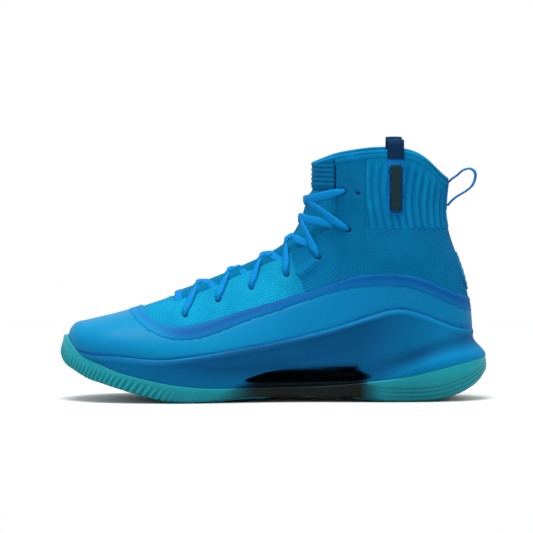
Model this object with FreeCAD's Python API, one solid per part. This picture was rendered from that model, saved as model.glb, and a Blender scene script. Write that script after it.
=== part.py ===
"""Right basketball high top: knit sock upper, fused film, foam midsole, translucent cup outsole and flat lace.

Millimetres. +X points to the toe, +Y to the medial (inner) side and +Z up. The origin is on the floor under
the middle of the shoe. Every soft layer of the upper is a shell of the same last: skin(a) is the solid inside
the outer surface moved in by a, so a layer is skin(a) less skin(b), kept inside a side-view region.
"""
import FreeCAD
import Part
import math
import os

os.makedirs("parts", exist_ok=True)

# ---- driving dimensions -------------------------------------------------------------------------
LENGTH = 300.0
SOLE_HALF_WIDTH = 54.0
LOOP_TOP = 184.6          # top of the side pull loops
FLEX_X, FLEX_Z = 72.0, 31.0   # toe flex line, above the ball of the foot
FLEX_LIMIT = 25.0         # degrees of toe flex
FLEX_GAP = 0.15           # half the gap that splits the sole at the flex line
FILM = 0.8                # fused film thickness
KNIT_IN = 2.6             # depth of the knit's inner face
STIFFENER_IN = 4.0        # depth of the inner face of the toe puff and heel counter
RUBBER = 4.2              # outsole thickness
LACE_WIDTH = 6.4
FIT = 0.1                 # clearance between glued layers
FAR = 120.0               # half the span of a cutting prism
SECTION_POINTS = 28

V = FreeCAD.Vector
BOTH, MEDIAL, LATERAL = (-FAR, FAR), (0.0, FAR), (-FAR, 0.0)

# ---- the last -----------------------------------------------------------------------------------
# One row per section: top x, z; bottom x, z; half width medial, lateral; centre y; share of the height at
# which it is widest; roundness of the upper and lower halves; whether its bottom is on the footbed.
SECTIONS = [
    (144.6, 49.0, 144.6, 38.0, 9.0, 9.0, 8.0, 0.55, 2.0, 2.2, True),
    (141.0, 53.6, 141.0, 32.0, 19.0, 18.0, 7.6, 0.58, 2.1, 2.6, True),
    (135.0, 55.8, 135.0, 28.5, 28.0, 27.0, 7.0, 0.60, 2.1, 3.0, True),
    (125.0, 58.0, 124.0, 25.5, 36.5, 35.0, 6.0, 0.62, 2.1, 3.6, True),
    (110.0, 61.5, 108.0, 23.0, 43.5, 42.0, 4.5, 0.66, 2.0, 4.0, True),
    (90.0, 67.5, 86.0, 21.5, 48.0, 47.0, 2.5, 0.72, 1.8, 4.0, True),
    (68.0, 75.0, 60.0, 21.0, 48.8, 48.0, 0.5, 0.77, 1.65, 4.0, True),
    (45.0, 83.5, 30.0, 21.5, 46.0, 47.5, -1.0, 0.79, 1.60, 4.0, True),
    (22.0, 93.0, -5.0, 22.0, 40.5, 43.5, -2.0, 0.78, 1.60, 4.0, True),
    (2.0, 102.5, -50.0, 22.0, 36.0, 39.0, -1.5, 0.72, 1.65, 4.0, True),
    (-12.0, 113.0, -100.0, 21.0, 34.5, 36.5, -0.5, 0.64, 1.75, 3.4, True),
    (-19.5, 125.0, -136.0, 31.0, 34.0, 35.5, 0.0, 0.58, 1.85, 2.3, False),
    (-23.5, 137.0, -139.4, 62.0, 34.0, 35.0, 0.0, 0.55, 1.95, 2.05, False),
    (-25.5, 149.0, -134.0, 90.0, 34.0, 34.5, 0.0, 0.53, 2.0, 2.0, False),
    (-26.0, 159.0, -126.5, 111.0, 34.0, 34.2, 0.0, 0.52, 2.05, 2.0, False),
    (-26.0, 169.0, -122.2, 131.0, 34.0, 34.0, 0.0, 0.51, 2.1, 2.05, False),
    (-26.0, 180.0, -123.5, 153.0, 34.5, 34.5, 0.0, 0.50, 2.1, 2.1, False),
    (-26.0, 190.0, -127.0, 180.0, 35.0, 35.0, 0.0, 0.50, 2.1, 2.1, False),
]
# Depth of the lining's outer face at each section: thin at the toe, padded at the ankle, thin in the cuff.
LINING_OUT = [4.2, 4.2, 4.2, 4.2, 4.4, 4.8, 5.6, 7.0, 7.0, 7.0, 7.0, 7.0, 7.0, 6.9, 5.6, 4.2, 3.2, 3.0]
LINING_THICK = 0.8
LINING_IN = [depth + LINING_THICK for depth in LINING_OUT]
SOCKLINER_OUT = [depth + 1.3 for depth in LINING_OUT]
FOAM_IN = [max(depth - FIT, 5.0) for depth in LINING_OUT]
OPEN_BOTTOM = 3.0         # how far an inner cutting solid reaches below the footbed


def power(value, exponent):
    """value to a power, keeping its sign."""
    return math.copysign(abs(value) ** exponent, value)


def section_curve(row, inset, open_bottom):
    """Closed curve of one section, moved in by inset; on the footbed its bottom may reach past the sole."""
    top_x, top_z, low_x, low_z, medial, lateral, centre, widest, round_top, round_low, on_bed = row
    top, low = V(top_x, centre, top_z), V(low_x, centre, low_z)
    length = (low - top).Length
    down = (low - top).normalize()
    base = -OPEN_BOTTOM if on_bed and open_bottom else (0.0 if on_bed else inset)
    middle = widest * length
    points = []
    for k in range(SECTION_POINTS):
        angle = 2 * math.pi * k / SECTION_POINTS
        upper = math.cos(angle) > 0
        n = round_top if upper else round_low
        reach = middle - inset if upper else length - base - middle
        half = (medial if math.sin(angle) >= 0 else lateral) - inset
        along = middle - reach * power(math.cos(angle), 2 / n)
        points.append(top + down * along + V(0, half * power(math.sin(angle), 2 / n), 0))
    return closed_curve(points)


def closed_curve(points):
    """Smooth closed curve through the points."""
    curve = Part.BSplineCurve()
    knots = [k / len(points) for k in range(len(points) + 1)]
    curve.interpolate(Points=points, PeriodicFlag=True, Parameters=knots)
    curve.setNotPeriodic()
    return curve


def skinned(curves, stations):
    """Solid through closed curves that share their knots, with a flat cap at each end."""
    columns = [curve.getPoles() for curve in curves]
    across = []
    for k in range(len(columns[0])):
        line = Part.BSplineCurve()
        line.interpolate(Points=[column[k] for column in columns], Parameters=stations)
        across.append(line)
    around, along = curves[0], across[0]
    surface = Part.BSplineSurface()
    surface.buildFromPolesMultsKnots([line.getPoles() for line in across], around.getMultiplicities(),
                                     along.getMultiplicities(), around.getKnots(), along.getKnots(),
                                     False, False, around.Degree, along.Degree)
    side = surface.toShape()
    rings = [e for e in side.Edges
             if (e.valueAt(e.FirstParameter) - e.valueAt(e.LastParameter)).Length < 1e-6]
    shell = Part.makeShell([side] + [Part.Face(Part.Wire([ring])) for ring in rings])
    shell.sewShape()
    solid = Part.makeSolid(shell)
    if solid.Volume < 0:
        solid.reverse()
    return solid


def spread(distances):
    """Parameters from 0 to 1 in proportion to the distances between sections."""
    total, places = sum(distances), [0.0]
    for distance in distances:
        places.append(places[-1] + distance / total)
    return places[:-1] + [1.0]


STEPS = [max(4.0, math.hypot(a[0] + a[2] - b[0] - b[2], a[1] + a[3] - b[1] - b[3]) / 2)
         for a, b in zip(SECTIONS, SECTIONS[1:])]
SKINS = {}


def skin(inset, open_bottom=True):
    """Solid inside the upper's outer surface, moved in by inset: one number, or one per section."""
    insets = inset if isinstance(inset, list) else [inset] * len(SECTIONS)
    key = (tuple(insets), open_bottom)
    if key not in SKINS:
        curves = [section_curve(row, d, open_bottom) for row, d in zip(SECTIONS, insets)]
        SKINS[key] = skinned(curves, spread(STEPS))
    return SKINS[key]


# ---- side-view regions --------------------------------------------------------------------------
def edge(points, y):
    """A line through two points or a smooth curve through more, in the plane at y."""
    spots = [V(x, y, z) for x, z in points]
    if len(spots) == 2:
        return Part.makeLine(spots[0], spots[1])
    curve = Part.BSplineCurve()
    curve.interpolate(Points=spots)
    return curve.toShape()


def prism(*chains, span=BOTH):
    """Solid whose side view is bounded by the chains of (x, z) points, joined end to end by lines."""
    low, high = span
    edges = []
    for k, chain in enumerate(chains):
        if len(chain) > 1:
            edges.append(edge(chain, low))
        following = chains[(k + 1) % len(chains)]
        if chain[-1] != following[0]:
            edges.append(edge([chain[-1], following[0]], low))
    face = Part.Face(Part.Wire(edges))
    return face.extrude(V(0, high - low, 0))


def corners(*points, span=BOTH):
    """Prism with a straight-sided side view."""
    return prism(*[[p] for p in points], span=span)


def layer(outer, inner, region, less=()):
    """Shell between two depths of the last, inside a region and outside the solids in less."""
    shell = skin(outer, False).cut(skin(inner, True)).common(region)
    for solid in less:
        shell = shell.cut(solid)
    return shell


def export(name, *shapes):
    """Write the solids of the shapes as one node, leaving out crumbs."""
    solids = [s for shape in shapes for s in shape.Solids if s.Volume > 0.5]
    if not solids:
        raise ValueError(f"{name} has no solid")
    whole = solids[0] if len(solids) == 1 else Part.makeCompound(solids)
    bad = [s for s in solids if not s.isValid()]
    box = whole.optimalBoundingBox(False)
    print(f"{name:26s} {len(solids)} solids, {sum(s.Volume for s in solids) / 1000:8.2f} cm3,"
          f" x {box.XMin:.1f}..{box.XMax:.1f} y {box.YMin:.1f}..{box.YMax:.1f}"
          f" z {box.ZMin:.1f}..{box.ZMax:.1f}{'  INVALID' if bad else ''}")
    whole.exportStep(f"parts/{name}.step")


# Side-view lines, toe to heel unless said.
MIDSOLE_TOP = [(150, 42), (137.6, 36.4), (111, 33.2), (92, 31.2), (78, 30.7), (63.7, 32.0), (44.8, 34.5),
               (25.8, 37.6), (0.6, 42.2), (-22.9, 47.2), (-46.3, 53.6), (-69.8, 61.2), (-81.5, 64.4),
               (-88.6, 65.2), (-99.1, 63.4), (-110.9, 59.2), (-122.6, 54.6), (-132, 51.6), (-152, 51.0)]
OUTSOLE_TOP = [(158, 54), (147.4, 45.6), (139.3, 36.8), (125.6, 28.9), (113.7, 23.6), (98.1, 18.9),
               (77.9, 14.4), (54.3, 11.2), (21.1, 10.4), (-20, 11.0), (-50, 12.6), (-68, 14.6),
               (-92.3, 18.2), (-113.4, 22.7), (-137, 28.2), (-155, 32.0)]
GROUND = [(156, 38), (150.9, 32.2), (148.3, 26.8), (143.6, 22.8), (133.7, 17.5), (121.8, 13.4), (107.5, 9.2),
          (93.4, 5.2), (81, 1.9), (70, 0.1), (58, -0.5), (44, 0.2), (25, 1.9), (0, 3.0), (-30, 3.0), (-55, 2.2),
          (-72, 0.5), (-88, -0.6), (-103, -0.4), (-116, 0.9), (-126, 3.6), (-137, 8.0), (-144, 12.6),
          (-149.5, 18.4), (-155, 27)]
RIM = [(-15, 164.5), (-25.8, 166.5), (-33, 168.9), (-43, 172.4), (-54.6, 174.8), (-69, 176.6), (-80, 177.0),
       (-92.5, 176.0), (-101.6, 173.2), (-108.8, 168.4), (-115.1, 162.0), (-119.6, 157.6), (-124.1, 154.6),
       (-134, 151)]
BAND_TOP = [(97, 75), (93.1, 67.1), (88.4, 61.5), (82, 57.0), (73.2, 54.4), (59.3, 54.6), (40.3, 58.8),
            (21.4, 64.5), (2.5, 69.6), (-16.5, 75.2), (-35.4, 81.2), (-50, 86.2), (-65.4, 89.6), (-83.5, 90.4),
            (-97.1, 88.6), (-110.6, 84.0), (-124.1, 77.6), (-145, 70)]
BAND_LOW = [(110, 72), (102.6, 63.4), (92.2, 53.6), (82.7, 47.8), (73.2, 44.6), (59, 43.9), (44.8, 47.0),
            (24, 54.6), (0, 62.8), (-22.9, 70.6), (-47, 77.6), (-69.8, 81.0), (-90, 80.6), (-105, 76.6),
            (-119, 70.4), (-145, 59)]
THROAT = [(84, 84), (70.5, 72.2), (66, 71.4), (43.2, 79.6), (21.4, 89.6), (-2.3, 99.5), (-22.2, 110.9),
          (-39.3, 125.1), (-44, 136), (-42, 150)]
EYELETS = [(62.6, 62.0), (39.4, 72.0), (16.2, 80.6), (-8.4, 89.6), (-30.7, 101.9), (-51.6, 121.3),
           (-48.7, 148.3), (-58.7, 146.9)]
RIDGE = [(67.4, 76.0), (52.7, 83.8), (30.8, 93.4), (8.1, 103.8), (-8.9, 114.7), (-19.3, 127.9), (-24.1, 140.2)]
THROAT_EDGE = [(66.8, 71.0), (43.2, 79.6), (21.4, 89.6), (-2.3, 99.5), (-22.2, 110.9), (-39.3, 125.1)]
FOOTBED = [(150, 43), (144.6, 38), (141, 32), (135, 28.5), (124, 25.5), (108, 23), (86, 21.5), (60, 21), (30, 21.5),
           (-5, 22), (-50, 22), (-100, 21.2), (-125, 22.5), (-150, 24)]

CEILING, FLOOR = 260.0, -60.0


def half_space(line, level):
    """Everything between a toe-to-heel line, run on level at both ends, and a high or low level."""
    first_z, last_z = line[0][1], line[-1][1]
    return prism(line, [(-2 * LENGTH, last_z)], [(-2 * LENGTH, level)], [(2 * LENGTH, level)],
                 [(2 * LENGTH, first_z)])


def above(line):
    return half_space(line, CEILING)


def below(line):
    return half_space(line, FLOOR)


def lifted(line, rise):
    return [(x, z + rise) for x, z in line]


def bed_slab(low, high):
    """The space between two heights over the footbed."""
    return above(lifted(FOOTBED, low)).common(below(lifted(FOOTBED, high)))


# ---- toe flex split ------------------------------------------------------------------------------
def side_of_flex(shape, fore):
    """The part of a shape in front of the flex line, or behind it. Above the line the front part stands
    back by the flex limit, so that it can turn without meeting the rear."""
    lean = math.tan(math.radians(FLEX_LIMIT + 1.0))
    if fore:
        cutter = corners((FLEX_X + FLEX_GAP, FLOOR), (FLEX_X + FLEX_GAP, FLEX_Z),
                         (FLEX_X + FLEX_GAP + lean * (CEILING - FLEX_Z), CEILING), (400, CEILING), (400, FLOOR))
    else:
        cutter = corners((FLEX_X - FLEX_GAP, FLOOR), (FLEX_X - FLEX_GAP, CEILING), (-400, CEILING),
                         (-400, FLOOR))
    return shape.common(cutter)


def flex_wedge():
    """The space over the flex line that the two sides leave free."""
    lean = math.tan(math.radians(FLEX_LIMIT + 1.0))
    return corners((FLEX_X, FLEX_Z + 0.6), (FLEX_X, CEILING), (FLEX_X + lean * (CEILING - FLEX_Z), CEILING),
                   (FLEX_X + 0.25 + FLEX_GAP, FLEX_Z + 0.6))


# ---- sole ----------------------------------------------------------------------------------------
# Plan outline: share of the length from the heel, medial and lateral half widths.
PLAN = [(0.018, 18, 18), (0.07, 31.5, 32), (0.15, 39, 40.5), (0.28, 40.5, 44), (0.42, 39, 47), (0.55, 44, 50.5),
        (0.67, 52.3, 54), (0.76, 54, 53.2), (0.86, 49.5, 46), (0.93, 40, 33.5), (0.98, 25, 14)]
TOE_Y = 7.0
# Levels of the sole wall: height, how far it stands in, toe x, heel x.
WALL = [(-4, 4.5, 148, -143), (6, 1.8, 149.6, -147.5), (16, 0.5, 150, -149.6), (25, 0.0, 150, -150),
        (33, 0.6, 149.9, -148.2), (41, 1.6, 148.8, -143.6), (50, 2.4, 147.2, -141.2), (60, 3.0, 146, -141),
        (72, 3.4, 145, -141)]


def plan_curve(level, inset):
    """Closed outline of the sole wall at one level, moved in by inset."""
    height, stand_in, toe, heel = level
    toe, heel = toe - inset, heel + inset
    span = toe - heel
    medial = [V(heel + s * span, m - stand_in - inset, height) for s, m, _ in PLAN]
    lateral = [V(heel + s * span, -(b - stand_in - inset), height) for s, _, b in PLAN]
    points = [V(heel, 0, height)] + medial + [V(toe, TOE_Y, height)] + lateral[::-1]
    return closed_curve(points)


def wall(inset):
    """Solid inside the sole wall, moved in by inset."""
    rises = [b[0] - a[0] for a, b in zip(WALL, WALL[1:])]
    return skinned([plan_curve(level, inset) for level in WALL], spread(rises))


ARCH_WINDOW = [(9, 20.4), (-6, 22.8), (-34, 24.4), (-55, 25.0), (-59.5, 23.2), (-64.5, 15.4), (16.5, 14.2)]
ARCH_DEPTH = (21.0, FAR)


def make_sole():
    block = wall(0).common(above(GROUND)).common(above([(LENGTH, 0), (-LENGTH, 0)]))
    core = wall(RUBBER).common(above(lifted(GROUND, RUBBER)))
    under = block.common(below(OUTSOLE_TOP))
    rubber = under.cut(core).cut(skin(-FIT, False))
    foam = block.common(above(OUTSOLE_TOP)).common(below(MIDSOLE_TOP))
    foam = foam.fuse(core.common(below(lifted(OUTSOLE_TOP, 0.5))))
    foam = foam.cut(skin(-FIT, False)).cut(rubber)
    window = corners(*ARCH_WINDOW, span=ARCH_DEPTH)
    foam = foam.cut(window)
    plate = corners((-64, 14.4), (15, 14.4), (8, 19.8), (-8, 22.0), (-34, 23.6), (-54, 24.2), (-58.5, 22.6),
                    span=(17.5, 22.6))
    plate = plate.fuse(corners((-84, 15.6), (-84, 17.6), (36, 17.6), (36, 15.6), span=(-24, 17.6)))
    plate = plate.common(below(lifted(FOOTBED, -0.4)))
    foam = foam.cut(plate)
    for name, fore in (("rearfoot", False), ("forefoot", True)):
        export(f"outsole_{name}", side_of_flex(rubber, fore))
        export(f"midsole_{name}", side_of_flex(foam, fore))
    export("shank_plate", plate)
    return foam, rubber


def make_footbed(foam, rubber):
    board = skin(KNIT_IN + FIT, True).common(bed_slab(FIT, 2.0)).cut(foam).cut(rubber)
    board = max(board.Solids, key=lambda solid: solid.Volume)
    liner = skin(SOCKLINER_OUT, True).common(bed_slab(2.1, 6.6))
    for name, fore in (("rearfoot", False), ("forefoot", True)):
        export(f"strobel_board_{name}", side_of_flex(board, fore))
        export(f"sockliner_{name}", side_of_flex(liner, fore))


# ---- upper ---------------------------------------------------------------------------------------
def eyelet_holes(radius):
    """Pins through the eyelets of both sides."""
    pins = []
    for x, z in EYELETS:
        pins.append(Part.makeCylinder(radius, 2 * FAR, V(x, -FAR, z), V(0, 1, 0)))
    return pins


def make_upper():
    rim = below(RIM)
    rim_band = below(lifted(RIM, -10))
    hem = below(lifted(RIM, -2))
    throat = prism(THROAT, [(THROAT[-1][0], CEILING)], [(THROAT[0][0], CEILING)])
    collar_front = corners((-12, 149), (-41.5, 149), (-41.5, 200), (-12, 200))
    rib_zone = corners((-67, 119.4), (-150, 119.4), (-150, 200), (-67, 200))
    film_zone = below(BAND_LOW)
    holes = eyelet_holes(2.2)
    knit = skin(FILM + FIT, False).cut(skin(KNIT_IN, True)).common(hem)
    body_knit = knit.cut(throat).cut(collar_front)
    vamp_side = corners((160, 0), (160, 140), (-10, 140), (-12, 96), (-19, 80), (-28, 60), (-34, 0))
    vamp = side_of_flex(body_knit.common(vamp_side), False)
    for pin in holes:
        vamp = vamp.cut(pin)
    export("forefoot_knit", vamp)
    export("toe_base_knit", side_of_flex(knit, True))
    ankle = body_knit.cut(vamp_side)
    cuff = ankle.common(rim_band)
    ankle_zone = cuff.cut(rib_zone)
    for pin in holes:
        ankle_zone = ankle_zone.cut(pin)
    export("ankle_knit", ankle_zone)
    export("collar_rib_knit", cuff.common(rib_zone))
    export("collar_top_band", ankle.cut(rim_band))
    export("front_stretch_panel", knit.common(collar_front))
    rim_ring = skin(FILM + FIT, False).cut(skin(LINING_IN, True)).common(rim).cut(hem)
    export("collar_rim_hem", rim_ring)

    film = layer(0.0, FILM, film_zone)
    export("toe_film", side_of_flex(film, True))
    export("sidewall_film", side_of_flex(film, False))
    band = skin(-0.2, False).cut(skin(FILM, True)).common(below(BAND_TOP)).common(above(BAND_LOW))
    export("film_edge_band", side_of_flex(band, False))
    export("film_edge_band_toe", side_of_flex(band, True))
    panel = skin(0.0, False).cut(skin(LINING_IN, True)).common(flex_wedge())
    export("vamp_flex_panel", panel)

    off_board = above(lifted(FOOTBED, 2.1))
    lining = skin(LINING_OUT, False).cut(skin(LINING_IN, True)).common(hem).common(off_board)
    for name, fore in (("rearfoot", False), ("forefoot", True)):
        export(f"sock_lining_{name}", side_of_flex(lining, fore))

    puff = layer(KNIT_IN + FIT, STIFFENER_IN, corners((98, 0), (98, 90), (160, 90), (160, 0))).common(off_board)
    export("toe_puff", side_of_flex(puff, True))
    counter_zone = prism([(-58, 24), (-66, 50), (-84, 66), (-110, 72), (-150, 70)], [(-150, 0)], [(-58, 0)])
    counter = layer(KNIT_IN + FIT, STIFFENER_IN, counter_zone).common(off_board)
    export("heel_counter", counter)
    heel_foam = skin(STIFFENER_IN + FIT, False).cut(skin(FOAM_IN, True)).common(counter_zone).common(off_board)
    export("heel_foam", heel_foam)
    for name, span in (("medial", (3.0, FAR)), ("lateral", (-FAR, -3.0))):
        oval = [(-84 + 27 * math.cos(a), 104 + 21 * math.sin(a))
                for a in (math.pi * k / 6 for k in range(12))]
        pad_zone = prism(oval + [oval[0]], span=span)
        pad = skin(KNIT_IN + FIT, False).cut(skin(FOAM_IN, True)).common(pad_zone)
        export(f"ankle_pad_{name}", pad.cut(counter_zone))
        stay_path = [(70.5, 58), (39.4, 67.5), (16.2, 76), (-8.4, 84.5), (-33, 96), (-60, 118), (-66, 149)]
        stay_back = [(-42.4, 154), (-43.5, 126), (-26, 105), (-7, 95.5), (16.2, 86), (39.4, 77), (70.5, 67)]
        stay_zone = prism(stay_path, stay_back, span=span)
        stay = layer(KNIT_IN + FIT, 3.4, stay_zone).cut(throat)
        for pin in holes:
            stay = stay.cut(pin)
        export(f"eyestay_{name}", stay)
    flap_depth = [5.0] * len(SECTIONS)
    flap = skin(flap_depth, False).cut(skin([d - FIT for d in LINING_OUT], True))
    tongue_zone = prism([(70, 62), (40, 70), (14, 80), (-10, 89), (-34, 104), (-50, 122), (-52, 148)],
                        [(0, 148)], [(90, 90)], [(70, 80)])
    tongue = side_of_flex(flap.common(tongue_zone), False)
    inner_throat = lifted(THROAT, 0.6)
    crown = skin(1.2, False).cut(skin(4.9, True))
    crown = crown.common(prism(inner_throat, [(inner_throat[-1][0], CEILING)], [(inner_throat[0][0], CEILING)]))
    crown = side_of_flex(crown, False).common(below([(40, 148.6), (-100, 148.6)]))
    export("tongue", tongue)
    export("throat_gusset", crown)


# ---- lace ----------------------------------------------------------------------------------------
def bar(start, end, past_start, past_end, width, span):
    """Prism over a straight strap from start to end in side view, run on past both."""
    along = V(end[0] - start[0], 0, end[1] - start[1]).normalize()
    side = V(-along.z, 0, along.x) * (width / 2)
    a = V(start[0], 0, start[1]) - along * past_start
    b = V(end[0], 0, end[1]) + along * past_end
    return corners(*[(p.x, p.z) for p in (a + side, b + side, b - side, a - side)], span=span)


def strand(lower, upper, own, other, name):
    """Half of the lace: at each crossing it rises from its own eyelet, crosses the ridge and dips under the
    far edge of the throat, then runs under the knit to the next eyelet."""
    over = skin(upper, False).cut(skin(lower, True))
    under = skin(3.6, False).cut(skin(4.8, True))
    runs = []
    for k in range(1, len(RIDGE)):
        rising = over.common(bar(EYELETS[k - 1], RIDGE[k], 1.0, 6.0, LACE_WIDTH, own))
        last = k == len(RIDGE) - 1
        target = EYELETS[k] if last else THROAT_EDGE[k]
        falling = over.common(bar(RIDGE[k], target, 2.0, 1.0 if last else 2.2, LACE_WIDTH, other))
        runs.append(rising.fuse(falling))
        if not last:
            hidden = under.common(bar(THROAT_EDGE[k], EYELETS[k], -1.2, 1.0, LACE_WIDTH, other))
            runs.append(hidden)
    export(name, *runs)


def make_lace():
    strand(0.5, -1.5, MEDIAL, LATERAL, "lace_medial_strand")
    strand(-1.8, -3.8, LATERAL, MEDIAL, "lace_lateral_strand")
    over = skin(-1.5, False).cut(skin(0.5, True))
    first = over.common(bar(RIDGE[0], THROAT_EDGE[0], 5.0, 1.2, LACE_WIDTH, BOTH))
    export("lace_toe_bar", side_of_flex(first, False))


# ---- pull loops and badge ------------------------------------------------------------------------
LOOP_WIDTH = 10.0
TAPE = 1.2


def ribbon(points, thickness, span):
    """Flat tape seen edge-on, following a smooth curve."""
    curve = Part.BSplineCurve()
    curve.interpolate(Points=[V(x, 0, z) for x, z in points])
    first, last = curve.FirstParameter, curve.LastParameter
    steps = 14
    sides = ([], [])
    for k in range(steps + 1):
        t = first + (last - first) * k / steps
        spot, along = curve.value(t), curve.tangent(t)[0]
        normal = V(-along.z, 0, along.x) * (thickness / 2)
        sides[0].append(((spot + normal).x, (spot + normal).z))
        sides[1].append(((spot - normal).x, (spot - normal).z))
    return prism(sides[0], sides[1][::-1], span=span)


HEEL_LOOP = [(-129.3, 158.0), (-133.5, 161.6), (-138.4, 162.8), (-141.8, 160.6), (-142.3, 156.4), (-140.2, 151.0),
             (-135.8, 147.0), (-129.8, 143.4)]
TAB_X, TAB_WIDTH = -85.3, 12.0
TAB_Y, TAB_RADIUS = 31.8, 4.0


def make_loops():
    half = LOOP_WIDTH / 2
    export("heel_pull_loop", ribbon(HEEL_LOOP, TAPE, (-half, half)))
    sewn_zone = corners((-110, 133), (-110, 156.5), (-140, 156.5), (-140, 133), span=(-half, half))
    export("heel_loop_anchor", skin(-0.9, False).cut(skin(FILM, True)).common(sewn_zone).common(below(RIM)))
    left, right = TAB_X - TAB_WIDTH / 2, TAB_X + TAB_WIDTH / 2
    for name, side in (("medial", 1), ("lateral", -1)):
        span = (5.0, FAR) if side > 0 else (-FAR, -5.0)
        y, top = side * TAB_Y, LOOP_TOP - TAB_RADIUS
        outer = Part.makeCylinder(TAB_RADIUS, TAB_WIDTH, V(left, y, top), V(1, 0, 0))
        inner = Part.makeCylinder(TAB_RADIUS - TAPE, TAB_WIDTH, V(left, y, top), V(1, 0, 0))
        leg = Part.makeBox(TAB_WIDTH, 2 * TAB_RADIUS, 1.6, V(left, y - TAB_RADIUS, top - 1.6))
        gap = Part.makeBox(TAB_WIDTH, 2 * (TAB_RADIUS - TAPE), 1.6, V(left, y - TAB_RADIUS + TAPE, top - 1.6))
        arch = outer.cut(Part.makeBox(TAB_WIDTH, 20, 20, V(left, y - 10, top - 20)))
        export(f"{name}_pull_tab", arch.fuse(leg).cut(inner).cut(gap))
        tape_zone = corners((left, 131.5), (left, 190), (right, 190), (right, 131.5), span=span)
        tape = skin(-0.2, False).cut(skin(FILM, True)).common(tape_zone).common(below(RIM))
        export(f"{name}_tab_tape", tape)
        label_zone = corners((left + 1.2, 133.5), (left + 1.2, 167), (right - 1.2, 167), (right - 1.2, 133.5),
                             span=span)
        export(f"{name}_tab_label", skin(-0.8, False).cut(skin(-0.25, True)).common(label_zone))
    oval = Part.Ellipse(V(-160, 0, 91), 14, 10)
    oval.rotate(FreeCAD.Placement(V(-160, 0, 91), FreeCAD.Rotation(V(0, 1, 0), 90), V(0, 0, 0)))
    face = Part.Face(Part.Wire([oval.toShape()]))
    export("heel_badge", skin(-1.4, False).cut(skin(FILM, True)).common(face.extrude(V(60, 0, 0))))


make_footbed(*make_sole())
make_upper()
make_lace()
make_loops()
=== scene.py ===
"""Looks of the basketball high top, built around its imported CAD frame.

The upper is a set of shells over one last surface, the same surface as the CAD model's. skin(u, a, d) is a point
of it: u runs from the toe to the collar in millimetres, a goes round from the top ridge (medial side positive)
and d is the depth inside the outer face. A patch is a grid of (u, a) cut to shape by side-view lines.
Lengths are in millimetres until a mesh is made, which is in metres.
"""
import bpy
import math
import numpy as np
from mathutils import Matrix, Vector
from mathutils.kdtree import KDTree


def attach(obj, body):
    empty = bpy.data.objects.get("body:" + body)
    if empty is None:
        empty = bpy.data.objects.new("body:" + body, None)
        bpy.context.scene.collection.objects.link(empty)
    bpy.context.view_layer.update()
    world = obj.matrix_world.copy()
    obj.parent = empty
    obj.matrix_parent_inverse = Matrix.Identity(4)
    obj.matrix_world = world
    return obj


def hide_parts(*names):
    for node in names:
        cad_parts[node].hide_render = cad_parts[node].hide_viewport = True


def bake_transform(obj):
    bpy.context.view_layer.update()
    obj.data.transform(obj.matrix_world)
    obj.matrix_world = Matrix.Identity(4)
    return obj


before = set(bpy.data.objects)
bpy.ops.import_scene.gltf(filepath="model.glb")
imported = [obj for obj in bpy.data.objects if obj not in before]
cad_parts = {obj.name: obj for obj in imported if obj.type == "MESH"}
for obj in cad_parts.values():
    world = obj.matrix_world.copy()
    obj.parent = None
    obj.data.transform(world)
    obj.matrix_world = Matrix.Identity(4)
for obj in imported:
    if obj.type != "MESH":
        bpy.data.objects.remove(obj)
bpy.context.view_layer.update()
MM = 0.001
KNIT_DEPTH = 0.9              # the knit's outer face lies this far inside the film's
KNIT_RADIUS, LINING_RADIUS = 38.0, 34.0     # millimetres of cloth per radian round the shoe

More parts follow.
